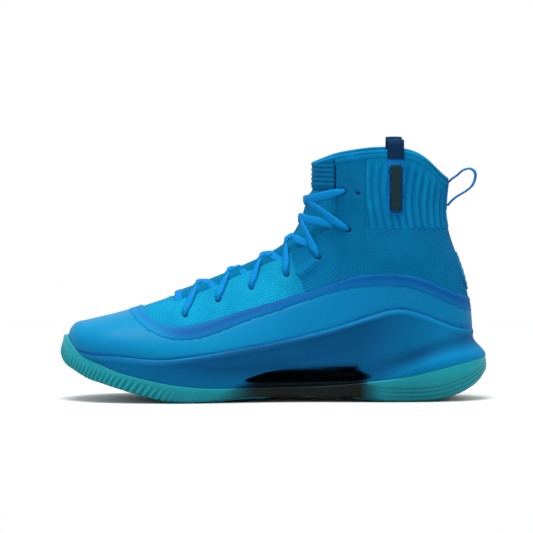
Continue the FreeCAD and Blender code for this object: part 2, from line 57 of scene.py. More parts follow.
# ---- lines of the design, as in the CAD source --------------------------------------------------
# Section rows: top x, z; bottom x, z; half width medial, lateral; centre y; share of height at which it is
# widest; roundness of upper and lower halves; on the footbed; depth of the lining's outer face.
SECTIONS = np.array([
    (144.6, 49.0, 144.6, 38.0, 9.0, 9.0, 8.0, 0.55, 2.0, 2.2, 1, 4.2),
    (141.0, 53.6, 141.0, 32.0, 19.0, 18.0, 7.6, 0.58, 2.1, 2.6, 1, 4.2),
    (135.0, 55.8, 135.0, 28.5, 28.0, 27.0, 7.0, 0.60, 2.1, 3.0, 1, 4.2),
    (125.0, 58.0, 124.0, 25.5, 36.5, 35.0, 6.0, 0.62, 2.1, 3.6, 1, 4.2),
    (110.0, 61.5, 108.0, 23.0, 43.5, 42.0, 4.5, 0.66, 2.0, 4.0, 1, 4.4),
    (90.0, 67.5, 86.0, 21.5, 48.0, 47.0, 2.5, 0.72, 1.8, 4.0, 1, 4.8),
    (68.0, 75.0, 60.0, 21.0, 48.8, 48.0, 0.5, 0.77, 1.65, 4.0, 1, 5.6),
    (45.0, 83.5, 30.0, 21.5, 46.0, 47.5, -1.0, 0.79, 1.60, 4.0, 1, 7.0),
    (22.0, 93.0, -5.0, 22.0, 40.5, 43.5, -2.0, 0.78, 1.60, 4.0, 1, 7.0),
    (2.0, 102.5, -50.0, 22.0, 36.0, 39.0, -1.5, 0.72, 1.65, 4.0, 1, 7.0),
    (-12.0, 113.0, -100.0, 21.0, 34.5, 36.5, -0.5, 0.64, 1.75, 3.4, 1, 7.0),
    (-19.5, 125.0, -136.0, 31.0, 34.0, 35.5, 0.0, 0.58, 1.85, 2.3, 0, 7.0),
    (-23.5, 137.0, -139.4, 62.0, 34.0, 35.0, 0.0, 0.55, 1.95, 2.05, 0, 7.0),
    (-25.5, 149.0, -134.0, 90.0, 34.0, 34.5, 0.0, 0.53, 2.0, 2.0, 0, 6.9),
    (-26.0, 159.0, -126.5, 111.0, 34.0, 34.2, 0.0, 0.52, 2.05, 2.0, 0, 5.6),
    (-26.0, 169.0, -122.2, 131.0, 34.0, 34.0, 0.0, 0.51, 2.1, 2.05, 0, 4.2),
    (-26.0, 180.0, -123.5, 153.0, 34.5, 34.5, 0.0, 0.50, 2.1, 2.1, 0, 3.2),
    (-26.0, 190.0, -127.0, 180.0, 35.0, 35.0, 0.0, 0.50, 2.1, 2.1, 0, 3.0)])
MIDSOLE_TOP = [(150, 42), (137.6, 36.4), (111, 33.2), (92, 31.2), (78, 30.7), (63.7, 32.0), (44.8, 34.5),
               (25.8, 37.6), (0.6, 42.2), (-22.9, 47.2), (-46.3, 53.6), (-69.8, 61.2), (-81.5, 64.4),
               (-88.6, 65.2), (-99.1, 63.4), (-110.9, 59.2), (-122.6, 54.6), (-132, 51.6), (-152, 51.0)]
OUTSOLE_TOP = [(158, 54), (147.4, 45.6), (139.3, 36.8), (125.6, 28.9), (113.7, 23.6), (98.1, 18.9),
               (77.9, 14.4), (54.3, 11.2), (21.1, 10.4), (-20, 11.0), (-50, 12.6), (-68, 14.6),
               (-92.3, 18.2), (-113.4, 22.7), (-137, 28.2), (-155, 32.0)]
GROUND = [(156, 38), (150.9, 32.2), (148.3, 26.8), (143.6, 22.8), (133.7, 17.5), (121.8, 13.4), (107.5, 9.2),
          (93.4, 5.2), (81, 1.9), (70, 0.1), (58, -0.5), (44, 0.2), (25, 1.9), (0, 3.0), (-30, 3.0), (-55, 2.2),
          (-72, 0.5), (-88, -0.6), (-103, -0.4), (-116, 0.9), (-126, 3.6), (-137, 8.0), (-144, 12.6),
          (-149.5, 18.4), (-155, 27)]
RIM = [(-15, 164.5), (-25.8, 166.5), (-33, 168.9), (-43, 172.4), (-54.6, 174.8), (-69, 176.6), (-80, 177.0),
       (-92.5, 176.0), (-101.6, 173.2), (-108.8, 168.4), (-115.1, 162.0), (-119.6, 157.6), (-124.1, 154.6),
       (-134, 151)]
BAND_TOP = [(97, 75), (93.1, 67.1), (88.4, 61.5), (82, 57.0), (73.2, 54.4), (59.3, 54.6), (40.3, 58.8),
            (21.4, 64.5), (2.5, 69.6), (-16.5, 75.2), (-35.4, 81.2), (-50, 86.2), (-65.4, 89.6), (-83.5, 90.4),
            (-97.1, 88.6), (-110.6, 84.0), (-124.1, 77.6), (-145, 70)]
BAND_LOW = [(110, 72), (102.6, 63.4), (92.2, 53.6), (82.7, 47.8), (73.2, 44.6), (59, 43.9), (44.8, 47.0),
            (24, 54.6), (0, 62.8), (-22.9, 70.6), (-47, 77.6), (-69.8, 81.0), (-90, 80.6), (-105, 76.6),
            (-119, 70.4), (-145, 59)]
THROAT = [(84, 84), (70.5, 72.2), (66, 71.4), (43.2, 79.6), (21.4, 89.6), (-2.3, 99.5), (-22.2, 110.9),
          (-39.3, 125.1), (-44, 136), (-42, 150)]
SEAM = [(-10, 140), (-12, 96), (-19, 80), (-28, 60), (-34, 0)]
EYELETS = [(62.6, 62.0), (39.4, 72.0), (16.2, 80.6), (-8.4, 89.6), (-30.7, 101.9), (-51.6, 121.3),
           (-48.7, 148.3), (-58.7, 146.9)]
RIDGE = [(67.4, 76.0), (52.7, 83.8), (30.8, 93.4), (8.1, 103.8), (-8.9, 114.7), (-19.3, 127.9), (-24.1, 140.2)]
THROAT_EDGE = [(66.8, 71.0), (43.2, 79.6), (21.4, 89.6), (-2.3, 99.5), (-22.2, 110.9), (-39.3, 125.1)]
FOOTBED = [(150, 43), (144.6, 38), (141, 32), (135, 28.5), (124, 25.5), (108, 23), (86, 21.5), (60, 21), (30, 21.5),
           (-5, 22), (-50, 22), (-100, 21.2), (-125, 22.5), (-150, 24)]
PLAN = [(0.018, 18, 18), (0.07, 31.5, 32), (0.15, 39, 40.5), (0.28, 40.5, 44), (0.42, 39, 47), (0.55, 44, 50.5),
        (0.67, 52.3, 54), (0.76, 54, 53.2), (0.86, 49.5, 46), (0.93, 40, 33.5), (0.98, 25, 14)]
WALL = np.array([(-4, 4.5, 148, -143), (6, 1.8, 149.6, -147.5), (16, 0.5, 150, -149.6), (25, 0.0, 150, -150),
                 (33, 0.6, 149.9, -148.2), (41, 1.6, 148.8, -143.6), (50, 2.4, 147.2, -141.2),
                 (60, 3.0, 146, -141), (72, 3.4, 145, -141)])
ARCH_WINDOW = [(9, 20.4), (-6, 22.8), (-34, 24.4), (-55, 25.0), (-59.5, 23.2), (-64.5, 15.4), (16.5, 14.2)]
TOE_Y = 7.0


# ---- curves --------------------------------------------------------------------------------------
def natural_spline(xs, ys, x):
    """Natural cubic spline through (xs, ys) at x; ys may have columns."""
    xs, ys, x = np.asarray(xs, float), np.asarray(ys, float), np.asarray(x, float)
    flat = ys.ndim == 1
    ys = ys.reshape(len(xs), -1)
    n, h = len(xs), np.diff(xs)
    matrix, right = np.eye(n), np.zeros_like(ys)
    for k in range(1, n - 1):
        matrix[k, k - 1:k + 2] = h[k - 1], 2 * (h[k - 1] + h[k]), h[k]
        right[k] = 6 * ((ys[k + 1] - ys[k]) / h[k] - (ys[k] - ys[k - 1]) / h[k - 1])
    bend = np.linalg.solve(matrix, right)
    at = np.clip(np.searchsorted(xs, x) - 1, 0, n - 2)
    shape = at.shape
    at = at.ravel()
    step = h[at][:, None]
    b = ((x.ravel() - xs[at])[:, None]) / step
    a = 1 - b
    value = a * ys[at] + b * ys[at + 1] + ((a ** 3 - a) * bend[at] + (b ** 3 - b) * bend[at + 1]) * step ** 2 / 6
    return value.reshape(shape) if flat else value.reshape(shape + (ys.shape[1],))


def line(points):
    """Height of a side-view line as a function of x."""
    ordered = np.array(sorted(points), float)

    def height(x):
        return natural_spline(ordered[:, 0], ordered[:, 1], np.clip(x, ordered[0, 0], ordered[-1, 0]))
    return height


midsole_top, outsole_top, ground = line(MIDSOLE_TOP), line(OUTSOLE_TOP), line(GROUND)
rim_z, band_top, band_low, footbed = line(RIM), line(BAND_TOP), line(BAND_LOW), line(FOOTBED)


def catmull(a, b, c, d, per_side):
    """Points of a Catmull-Rom curve from b up to c."""
    return [0.5 * (2 * b + (c - a) * t + (2 * a - 5 * b + 4 * c - d) * t * t
                   + (3 * b - a - 3 * c + d) * t ** 3) for t in np.arange(per_side) / per_side]


def smooth_closed(points, per_side):
    """Closed polygon rounded by a Catmull-Rom curve."""
    p = np.asarray(points, float)
    out = []
    for k in range(len(p)):
        out += catmull(p[k - 1], p[k], p[(k + 1) % len(p)], p[(k + 2) % len(p)], per_side)
    return np.array(out)


def open_curve(points, per_side):
    """Catmull-Rom curve through the points, ends included."""
    p = np.asarray(points, float)
    p = np.vstack([2 * p[0] - p[1], p, 2 * p[-1] - p[-2]])
    out = []
    for k in range(1, len(p) - 2):
        out += catmull(p[k - 1], p[k], p[k + 1], p[k + 2], per_side)
    out.append(p[-2])
    return np.array(out)


def resample(points, count):
    """The same path with count points evenly spaced along it."""
    p = np.asarray(points, float)
    run = np.concatenate([[0], np.cumsum(np.linalg.norm(np.diff(p, axis=0), axis=1))])
    at = np.linspace(0, run[-1], count)
    return np.stack([np.interp(at, run, p[:, k]) for k in range(p.shape[1])], axis=1)


def unit(vectors):
    """Rows scaled to length 1."""
    return vectors / np.linalg.norm(vectors, axis=1, keepdims=True)


def inside_polygon(polygon, x, z):
    """Signed distance to a closed polygon, positive inside."""
    x, z = np.asarray(x, float).ravel(), np.asarray(z, float).ravel()
    best = np.full(x.shape, 1e9)
    odd = np.zeros(x.shape, bool)
    for k in range(len(polygon)):
        (x0, z0), (x1, z1) = polygon[k - 1], polygon[k]
        ex, ez = x1 - x0, z1 - z0
        t = np.clip(((x - x0) * ex + (z - z0) * ez) / max(ex * ex + ez * ez, 1e-9), 0, 1)
        best = np.minimum(best, np.hypot(x - x0 - t * ex, z - z0 - t * ez))
        crosses = (z0 > z) != (z1 > z)
        with np.errstate(divide="ignore", invalid="ignore"):
            odd ^= crosses & (x < ex * (z - z0) / (ez if ez else 1e-9) + x0)
    return np.where(odd, best, -best)


def over(height, x, z, shift=0.0):
    """Distance above a side-view line, negative below it."""
    slope = (height(x + 0.5) - height(x - 0.5))
    return (z - height(x) - shift) / np.sqrt(1 + slope ** 2)


# ---- the last ------------------------------------------------------------------------------------
RING = 28
steps = np.maximum(4.0, np.hypot(np.diff(SECTIONS[:, 0] + SECTIONS[:, 2]),
                                 np.diff(SECTIONS[:, 1] + SECTIONS[:, 3])) / 2)
STATION = np.concatenate([[0], np.cumsum(steps)])
U_END = STATION[-1]


def ring_filter(count):
    """Matrix from points on a ring to the control points of the closed cubic spline through them."""
    m = np.zeros((count, count))
    for k in range(count):
        m[k, k], m[k, k - 1], m[k, (k + 1) % count] = 4 / 6, 1 / 6, 1 / 6
    return np.linalg.inv(m)


RING_FILTER, PLAN_FILTER = ring_filter(RING), ring_filter(2 * len(PLAN) + 2)


def around(points, matrix, turn):
    """Closed cubic splines, one per row of points, at turn from 0 to 1."""
    count = points.shape[1]
    t = (turn % 1.0) * count
    k = np.floor(t).astype(int)
    f = (t - k)[:, None]
    weights = ((1 - f) ** 3 / 6, (3 * f ** 3 - 6 * f ** 2 + 4) / 6,
               (-3 * f ** 3 + 3 * f ** 2 + 3 * f + 1) / 6, f ** 3 / 6)
    share = sum(w * matrix[(k + j - 1) % count] for j, w in enumerate(weights))
    return np.einsum("nj,njk->nk", share, points)


def skin(u, a, d):
    """Points of the last surface. A negative u rounds off the toe tip."""
    u, a = np.asarray(u, float).ravel(), np.asarray(a, float).ravel()
    d = np.broadcast_to(np.asarray(d, float).ravel(), u.shape) if np.size(d) > 1 else np.full(u.shape, float(d))
    row = natural_spline(STATION, SECTIONS, np.clip(u, 0, U_END))
    tx, tz, lx, lz, medial, lateral, cy, widest, nt, nl = row[:, :10].T
    bed = np.interp(np.clip(u, 0, U_END), STATION, SECTIONS[:, 10])
    tip = np.clip(-u, 0, 1)
    shrink = np.sqrt(np.clip(1 - tip ** 2, 0, 1))
    length = np.hypot(lx - tx, lz - tz)
    dx, dz = (lx - tx) / length, (lz - tz) / length
    middle = widest * length
    angle = 2 * np.pi * np.arange(RING) / RING
    c, s = np.cos(angle)[None], np.sin(angle)[None]
    upper = c > 0
    n = np.where(upper, nt[:, None], nl[:, None])
    reach = np.where(upper, (middle - d)[:, None], (length - d * (1 - bed) - middle)[:, None])
    half = np.where(s >= 0, medial[:, None], lateral[:, None]) - d[:, None]
    along = middle[:, None] - reach * np.sign(c) * np.abs(c) ** (2 / n) * shrink[:, None]
    side = half * np.sign(s) * np.abs(s) ** (2 / n) * shrink[:, None]
    points = np.stack([tx[:, None] + dx[:, None] * along + 1.6 * tip[:, None], cy[:, None] + side,
                       tz[:, None] + dz[:, None] * along], axis=2)
    return around(points, RING_FILTER, a / (2 * np.pi))


def skin_frame(u, a, d):
    """Points of the last and their outward normals."""
    p = skin(u, a, d)
    e = 0.4
    across = skin(u, a + 0.01, d) - skin(u, a - 0.01, d)
    along = skin(np.clip(u + e, -0.99, U_END), a, d) - skin(np.clip(u - e, -0.99, U_END), a, d)
    normal = np.cross(across, along)
    size = np.linalg.norm(normal, axis=1, keepdims=True)
    normal = normal / np.maximum(size, 1e-9)
    flip = np.sign(np.sum(normal * (p - middle_of(u)), axis=1, keepdims=True))
    return p, normal * np.where(flip == 0, 1, flip)


def middle_of(u):
    """A point inside the section at u."""
    row = natural_spline(STATION, SECTIONS, np.clip(u, 0, U_END))
    return np.stack([(row[:, 0] + row[:, 2]) / 2, row[:, 6], (row[:, 1] + row[:, 3]) / 2], axis=1)


# ---- patches -------------------------------------------------------------------------------------
class Patch:
    """Faces over points of a two-number surface grid."""

    def __init__(self, u, a, faces):
        self.u, self.a, self.faces = u, a, faces

    def cut(self, field):
        """Keep where field(u, a) is positive, with a clean edge where it is zero."""
        f = field(self.u, self.a)
        f = np.where(np.abs(f) < 1e-7, 1e-7, f)
        u, a = list(self.u), list(self.a)
        made, faces = {}, []
        keep_all = (f > 0).tolist()
        for face in self.faces:
            inside = [keep_all[v] for v in face]
            if all(inside):
                faces.append(face)
                continue
            if not any(inside):
                continue
            new = []
            for k, v in enumerate(face):
                w = face[(k + 1) % len(face)]
                if inside[k]:
                    new.append(v)
                if inside[k] != inside[(k + 1) % len(face)]:
                    key = (min(v, w), max(v, w))
                    if key not in made:
                        t = f[key[0]] / (f[key[0]] - f[key[1]])
                        t = min(max(t, 0.02), 0.98)
                        made[key] = len(u)
                        u.append(self.u[key[0]] + t * (self.u[key[1]] - self.u[key[0]]))
                        a.append(self.a[key[0]] + t * (self.a[key[1]] - self.a[key[0]]))
                    new.append(made[key])
            if len(new) > 2:
                faces.append(new)
        return Patch(np.array(u), np.array(a), faces).packed()

    def snapped(self, field, reach):
        """Grid points close to the line where field is zero are moved onto it, so cut leaves no slivers."""
        f = field(self.u, self.a)
        near = np.abs(f) < reach
        u, a = self.u[near], self.a[near]
        for _ in range(2):
            f = field(u, a)
            fu = (field(u + 0.05, a) - f) / 0.05
            fa = (field(u, a + 0.001) - f) / 0.001
            # scale the angle so that a step is about as long as one of u
            size = fu ** 2 + (fa / 35.0) ** 2 + 1e-9
            u, a = u - f * fu / size, a - f * fa / 35.0 ** 2 / size
        self.u, self.a = self.u.copy(), self.a.copy()
        self.u[near], self.a[near] = u, a
        return self

    def packed(self):
        used = sorted({v for face in self.faces for v in face})
        place = {v: k for k, v in enumerate(used)}
        self.faces = [[place[v] for v in face] for face in self.faces]
        self.u, self.a = self.u[used], self.a[used]
        return self

    def edges(self):
        """Directed boundary edges."""
        seen = {}
        for face in self.faces:
            for k, v in enumerate(face):
                w = face[(k + 1) % len(face)]
                seen[(v, w)] = seen.get((v, w), 0) + 1
        return [e for e in seen if (e[1], e[0]) not in seen]

    def loops(self):
        """Boundary loops as lists of vertices."""
        after = {}
        for v, w in self.edges():
            after.setdefault(v, []).append(w)
        loops = []
        while after:
            start = next(iter(after))
            loop, v = [start], after[start].pop()
            if not after[start]:
                del after[start]
            while v != start and v in after:
                loop.append(v)
                w = after[v].pop()
                if not after[v]:
                    del after[v]
                v = w
            loops.append(loop)
        return loops


def grid(u_values, a_values, wrap=False):
    """Patch over every pair of values."""
    nu, na = len(u_values), len(a_values)
    uu, aa = np.meshgrid(u_values, a_values, indexing="ij")
    columns = na if wrap else na - 1
    faces = []
    for i in range(nu - 1):
        for j in range(columns):
            k = (j + 1) % na
            faces.append([i * na + j, i * na + k, (i + 1) * na + k, (i + 1) * na + j])
    return Patch(uu.ravel(), aa.ravel(), faces)


def edge_distance(patch, points):
    """Distance of each point from the patch's edge."""
    rim = sorted({v for e in patch.edges() for v in e})
    tree = KDTree(len(rim))
    for v in rim:
        tree.insert(points[v], v)
    tree.balance()
    return np.array([tree.find(p)[2] for p in points])


def make_mesh(name, points, faces, uv=None, period=None):
    """Mesh object in metres from points in millimetres. uv are millimetres along the surface."""
    mesh = bpy.data.meshes.new(name)
    mesh.from_pydata([tuple(p) for p in np.asarray(points) * MM], [], [list(f) for f in faces])
    if uv is not None:
        layer = mesh.uv_layers.new(name="weave")
        index = np.zeros(len(mesh.loops), int)
        mesh.loops.foreach_get("vertex_index", index)
        values = np.asarray(uv, float)[index]
        if period:
            for polygon in mesh.polygons:
                part = slice(polygon.loop_start, polygon.loop_start + polygon.loop_total)
                v = values[part, 1]
                if v.max() - v.min() > period / 2:
                    values[part, 1] = np.where(v < v.max() - period / 2, v + period, v)
        layer.data.foreach_set("uv", values.ravel())
    mesh.shade_smooth()
    mesh.validate()
    mesh.update()
    obj = bpy.data.objects.new(name, mesh)
    bpy.context.scene.collection.objects.link(obj)
    return obj


def outward(points, faces):
    """True if the closed faces enclose a positive volume."""
    p = np.asarray(points)
    fans = np.array([(f[0], f[k], f[k + 1]) for f in faces for k in range(1, len(f) - 1)])
    a, b, c = p[fans[:, 0]], p[fans[:, 1]], p[fans[:, 2]]
    return np.sum(a * np.cross(b, c)) > 0


def shell(name, patch, outer, inner, uv=None, period=None):
    """Closed piece between the outer and inner points of a patch."""
    n = len(outer)
    faces = [list(f) for f in patch.faces] + [[v + n for v in reversed(f)] for f in patch.faces]
    for v, w in patch.edges():
        faces.append([w, v, v + n, w + n])
    points = np.vstack([outer, inner])
    if not outward(points, faces):
        faces = [f[::-1] for f in faces]
    uv = None if uv is None else np.vstack([uv, uv])
    return make_mesh(name, points, faces, uv, period)


def rounded(distance, radius, floor=0.25):
    """Share of full height near an edge that is rounded off over radius."""
    t = 1 - np.clip(distance / radius, 0, 1)
    return floor + (1 - floor) * np.sqrt(np.clip(1 - t ** 2, 0, 1))


def cloth(name, patch, depth, thickness, relief=None, edge=1.0):
    """Shell of the upper: outer face at depth less any relief, inner face thickness below it."""
    base, normal = skin_frame(patch.u, patch.a, depth)
    inner, _ = skin_frame(patch.u, patch.a, depth + thickness)
    distance = edge_distance(patch, base)
    share = rounded(distance, edge)[:, None]
    outer = inner + (base - inner) * share
    if relief is not None:
        bump = relief(base[:, 0], base[:, 1], base[:, 2], patch.u, patch.a, distance)
        outer = outer + normal * (bump * np.clip(distance / 1.5, 0, 1))[:, None]
    uv = np.stack([patch.u, patch.a * KNIT_RADIUS], axis=1)
    return shell(name, patch, outer, inner, uv, period=2 * math.pi * KNIT_RADIUS)


def side_field(test, depth=KNIT_DEPTH):
    """Field on (u, a) from a test of x, y, z."""
    def field(u, a):
        p = skin(u, a, depth)
        return test(p[:, 0], p[:, 1], p[:, 2])
    return field


# ---- materials -----------------------------------------------------------------------------------
STUDIO = 0.78


def srgb(text):
    """Linear surface colour that looks like a six-digit sRGB one in the studio's light."""
    values = [int(text[k:k + 2], 16) / 255 for k in (0, 2, 4)]
    return [STUDIO * (v / 12.92 if v <= 0.04045 else ((v + 0.055) / 1.055) ** 2.4) for v in values] + [1.0]


class Maker:
    """Short ways to add shader nodes to one material."""

    def __init__(self, name, rough=0.6, **sockets):
        self.mat = bpy.data.materials.new(name)
        self.mat.use_nodes = True
        self.tree = self.mat.node_tree
        self.bsdf = self.tree.nodes["Principled BSDF"]
        self.bsdf.inputs["Roughness"].default_value = rough
        for key, value in sockets.items():
            self.bsdf.inputs[key.replace("_", " ")].default_value = value

    def put(self, kind, **values):
        node = self.tree.nodes.new(kind)
        for key, value in values.items():
            setattr(node, key, value)
        return node

    def wire(self, value, socket):
        if hasattr(value, "links"):
            self.tree.links.new(value, socket)
        else:
            socket.default_value = value

    def three_tones(self, tone, light, dark, deep):
        """Colour from light at 0 over dark at a half to deep at 1."""
        twice = self.math("MULTIPLY", tone, 2.0)
        upper = self.mix(self.math("MINIMUM", twice, 1.0), srgb(light), srgb(dark))
        self.color(self.mix(self.math("SUBTRACT", twice, 1.0, clamp=True), upper, srgb(deep)))

    def math(self, op, a, b=0.0, clamp=False):
        node = self.put("ShaderNodeMath", operation=op, use_clamp=clamp)
        self.wire(a, node.inputs[0])
        self.wire(b, node.inputs[1])
        return node.outputs[0]

    def mix(self, factor, a, b):
        node = self.put("ShaderNodeMix", data_type="RGBA")
        self.wire(factor, node.inputs[0])
        self.wire(a, node.inputs[6])
        self.wire(b, node.inputs[7])
        return node.outputs[2]

    def weave(self):
        """Surface coordinates in millimetres."""
        node = self.put("ShaderNodeUVMap", uv_map="weave")
        split = self.put("ShaderNodeSeparateXYZ")
        self.tree.links.new(node.outputs[0], split.inputs[0])
        return split.outputs[0], split.outputs[1]

    def place(self):
        """Object coordinates in metres."""
        return self.put("ShaderNodeTexCoord").outputs["Object"]

    def noise(self, scale, detail=2.0, vector=None):
        node = self.put("ShaderNodeTexNoise")
        self.tree.links.new(vector or self.place(), node.inputs["Vector"])
        node.inputs["Scale"].default_value, node.inputs["Detail"].default_value = scale, detail
        return node.outputs[0]

    def wave(self, value, pitch, shift=0.0):
        """Sine of value from 0 to 1, one cycle per pitch."""
        turned = self.math("ADD", self.math("MULTIPLY", value, 2 * math.pi / pitch), shift)
        return self.math("ADD", self.math("MULTIPLY", self.math("SINE", turned), 0.5), 0.5)

    def attribute(self, name):
        return self.put("ShaderNodeAttribute", attribute_name=name).outputs["Fac"]

    def bump(self, height, distance, strength=1.0):
        node = self.put("ShaderNodeBump")
        node.inputs["Strength"].default_value, node.inputs["Distance"].default_value = strength, distance
        self.tree.links.new(height, node.inputs["Height"])
        self.tree.links.new(node.outputs[0], self.bsdf.inputs["Normal"])

    def color(self, socket):
        self.tree.links.new(socket, self.bsdf.inputs["Base Color"])

    def rough(self, socket):
        self.tree.links.new(socket, self.bsdf.inputs["Roughness"])


def knit(name, light, dark, pitch_u, pitch_a, slant=0.0, contrast=1.0, depth=0.0003):
    """Knitted cloth: rows of small V stitches in two tones."""
    m = Maker(name, rough=0.85, Specular_IOR_Level=0.04)
    u, a = m.weave()
    leaning = m.math("ADD", u, m.math("MULTIPLY", a, slant))
    zigzag = m.math("MULTIPLY", m.math("ABSOLUTE", m.math("SUBTRACT", m.wave(a, pitch_a * 2), 0.5)), pitch_u)
    rows = m.wave(m.math("ADD", leaning, zigzag), pitch_u)
    wales = m.wave(a, pitch_a)
    stitch = m.math("MULTIPLY", rows, m.math("ADD", m.math("MULTIPLY", wales, 0.6), 0.4))
    fuzz = m.noise(2600.0, 2.0)
    patch = m.noise(60.0, 3.0)
    mixed = m.math("ADD", m.math("MULTIPLY", stitch, contrast),
                   m.math("MULTIPLY", m.math("SUBTRACT", fuzz, 0.5), 0.55))
    mixed = m.math("ADD", mixed, m.math("MULTIPLY", m.math("SUBTRACT", patch, 0.5), 0.5), clamp=True)
    tone = m.attribute("tone")
    base = m.mix(mixed, srgb(dark), srgb(light))
    shade = m.mix(m.math("MULTIPLY", tone, 0.6), base, srgb(dark))
    m.color(shade)
    m.bump(m.math("ADD", stitch, m.math("MULTIPLY", fuzz, 0.3)), depth)
    return m.mat


def film_material(name, light, dark, rough=0.42):
    """Fused film: satin, slightly mottled, darker where tone says so."""
    m = Maker(name, rough=rough, Specular_IOR_Level=0.05)
    grain, cloud = m.noise(1800.0, 2.0), m.noise(35.0, 3.0)
    tone = m.math("ADD", m.attribute("tone"), m.math("MULTIPLY", m.math("SUBTRACT", cloud, 0.5), 0.14), clamp=True)
    m.color(m.mix(tone, srgb(light), srgb(dark)))
    m.rough(m.math("ADD", m.math("MULTIPLY", cloud, 0.12), rough - 0.06))
    m.bump(grain, 0.00006, 0.6)
    return m.mat


def foam_material(name, light, dark, deep):
    """Moulded foam with a fine pebble; tone runs from light over dark at a half to deep."""
    m = Maker(name, rough=0.55, Specular_IOR_Level=0.04)
    grain, cloud = m.noise(1400.0, 3.0), m.noise(28.0, 3.0)
    tone = m.math("ADD", m.attribute("tone"), m.math("MULTIPLY", m.math("SUBTRACT", cloud, 0.5), 0.08), clamp=True)
    m.three_tones(tone, light, dark, deep)
    m.rough(m.math("ADD", m.math("MULTIPLY", grain, 0.15), 0.46))
    m.bump(grain, 0.00012, 0.7)
    return m.mat


def rubber_material(name, light, dark, deep):
    """Translucent rubber: lighter in thin places, with a soft gloss; tone as in the foam."""
    m = Maker(name, rough=0.36, Specular_IOR_Level=0.12, Subsurface_Weight=0.1, Subsurface_Scale=0.0015)
    m.bsdf.inputs["Subsurface Radius"].default_value = (0.3, 1.0, 1.0)
    grain, cloud = m.noise(900.0, 3.0), m.noise(45.0, 3.0)
    tone = m.math("ADD", m.attribute("tone"), m.math("MULTIPLY", m.math("SUBTRACT", cloud, 0.5), 0.2), clamp=True)
    m.three_tones(tone, light, dark, deep)
    m.rough(m.math("ADD", m.math("MULTIPLY", cloud, 0.16), 0.28))
    m.bump(grain, 0.00008, 0.5)
    return m.mat


def tape_material(name, light, dark, along=0.45, across=0.9):
    """Woven tape or lace: twill along its length."""
    m = Maker(name, rough=0.7, Specular_IOR_Level=0.05)
    u, a = m.weave()
    twill = m.wave(m.math("ADD", u, m.math("MULTIPLY", m.math("ABSOLUTE", a), 0.8)), across)
    cords = m.wave(a, along)
    h = m.math("ADD", m.math("MULTIPLY", twill, 0.6), m.math("MULTIPLY", cords, 0.4))
    fuzz = m.noise(3000.0, 2.0)
    factor = m.math("ADD", m.math("MULTIPLY", h, 0.9),
                    m.math("MULTIPLY", m.math("SUBTRACT", fuzz, 0.5), 0.4), clamp=True)
    m.color(m.mix(factor, srgb(dark), srgb(light)))
    m.bump(h, 0.00016)
    return m.mat


KNIT_LIGHT = knit("mat_knit_light", "14b4dc", "00709e", 1.25, 1.5, slant=-0.8, contrast=1.05, depth=0.0005)
KNIT_DARK = knit("mat_knit_dark", "0086b8", "00507e", 1.5, 1.4, contrast=0.95, depth=0.00035)
KNIT_RIB = knit("mat_knit_rib", "00a6dc", "00588c", 0.9, 1.1, contrast=0.8, depth=0.0003)
GUSSET = knit("mat_knit_gusset", "0093c2", "005c8c", 1.6, 1.2, contrast=1.0, depth=0.0005)
LINING = knit("mat_lining", "005c8c", "003358", 0.9, 0.9, contrast=0.7, depth=0.0002)
FILM = film_material("mat_film", "0079a6", "00528c")
BAND = film_material("mat_film_edge", "0074a8", "004788", rough=0.55)
# The deep colours of the foam and the rubber serve painted shade: under the arch, in grooves and on the midsole's
# inner face.
FOAM = foam_material("mat_midsole", "0073a6", "00446e", "00080f")
RUBBER = rubber_material("mat_outsole", "0c8c97", "005f6c", "000706")
LACE = tape_material("mat_lace", "0094d6", "00569c")
TAPE = tape_material("mat_tape", "0a80cc", "004a90")
LABEL = tape_material("mat_label", "24403a", "06182a", along=0.7, across=0.6)
THREAD = tape_material("mat_thread", "06325c", "021c3c", along=0.3, across=0.5)
DARK_TAPE = tape_material("mat_dark_tape", "0a3358", "031a36")
PLASTIC = foam_material("mat_shank", "000b18", "00070e", "000506")
CREAM = foam_material("mat_stiffener", "b9b6a8", "8d8a7c", "6a675a")
BADGE = film_material("mat_badge", "006494", "00476f", rough=0.5)


def dress(obj, material, slot, *bodies, replaces=(), tone=None):
    """Give a piece its material and body; slot is not used. A piece with two bodies is given to neither body: only
    its transform is applied.
    """
    obj.data.materials.append(material)
    values = np.zeros(len(obj.data.vertices)) if tone is None else tone
    layer = obj.data.attributes.new("tone", "FLOAT", "POINT")
    layer.data.foreach_set("value", np.asarray(values, np.float32))
    if len(bodies) == 2:
        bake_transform(obj)
    else:
        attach(obj, bodies[0])
    if replaces:
        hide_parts(*replaces)
    return obj


def vertices(obj):
    """A mesh's vertices in millimetres."""
    flat = np.zeros(len(obj.data.vertices) * 3)
    obj.data.vertices.foreach_get("co", flat)
    return flat.reshape(-1, 3) / MM


def soft_step(x, low, high):
    t = np.clip((np.asarray(x, float) - low) / (high - low), 0, 1)
    return t * t * (3 - 2 * t)


# ---- upper ---------------------------------------------------------------------------------------
def angles(count):
    """Angles once round, from -pi, without the end."""
    return np.linspace(-math.pi, math.pi, count, endpoint=False)


throat_shape = np.vstack([open_curve(THROAT, 8), [(-42, 260), (84, 260)]])


def in_throat(x, z, grow=0.0):
    return inside_polygon(throat_shape, x, z) + grow


def before_seam(x, z):
    """Distance in front of the line where the forefoot knit ends."""
    ordered = sorted(SEAM, key=lambda p: p[1])
    return x - np.interp(z, [p[1] for p in ordered], [p[0] for p in ordered])


def near_eyelet(x, z):
    """Distance outside the nearest lace hole."""
    sizes = [1.9] * (len(EYELETS) - 1) + [1.1]
    return np.min([np.hypot(x - ex, z - ez) - size for (ex, ez), size in zip(EYELETS, sizes)], axis=0)


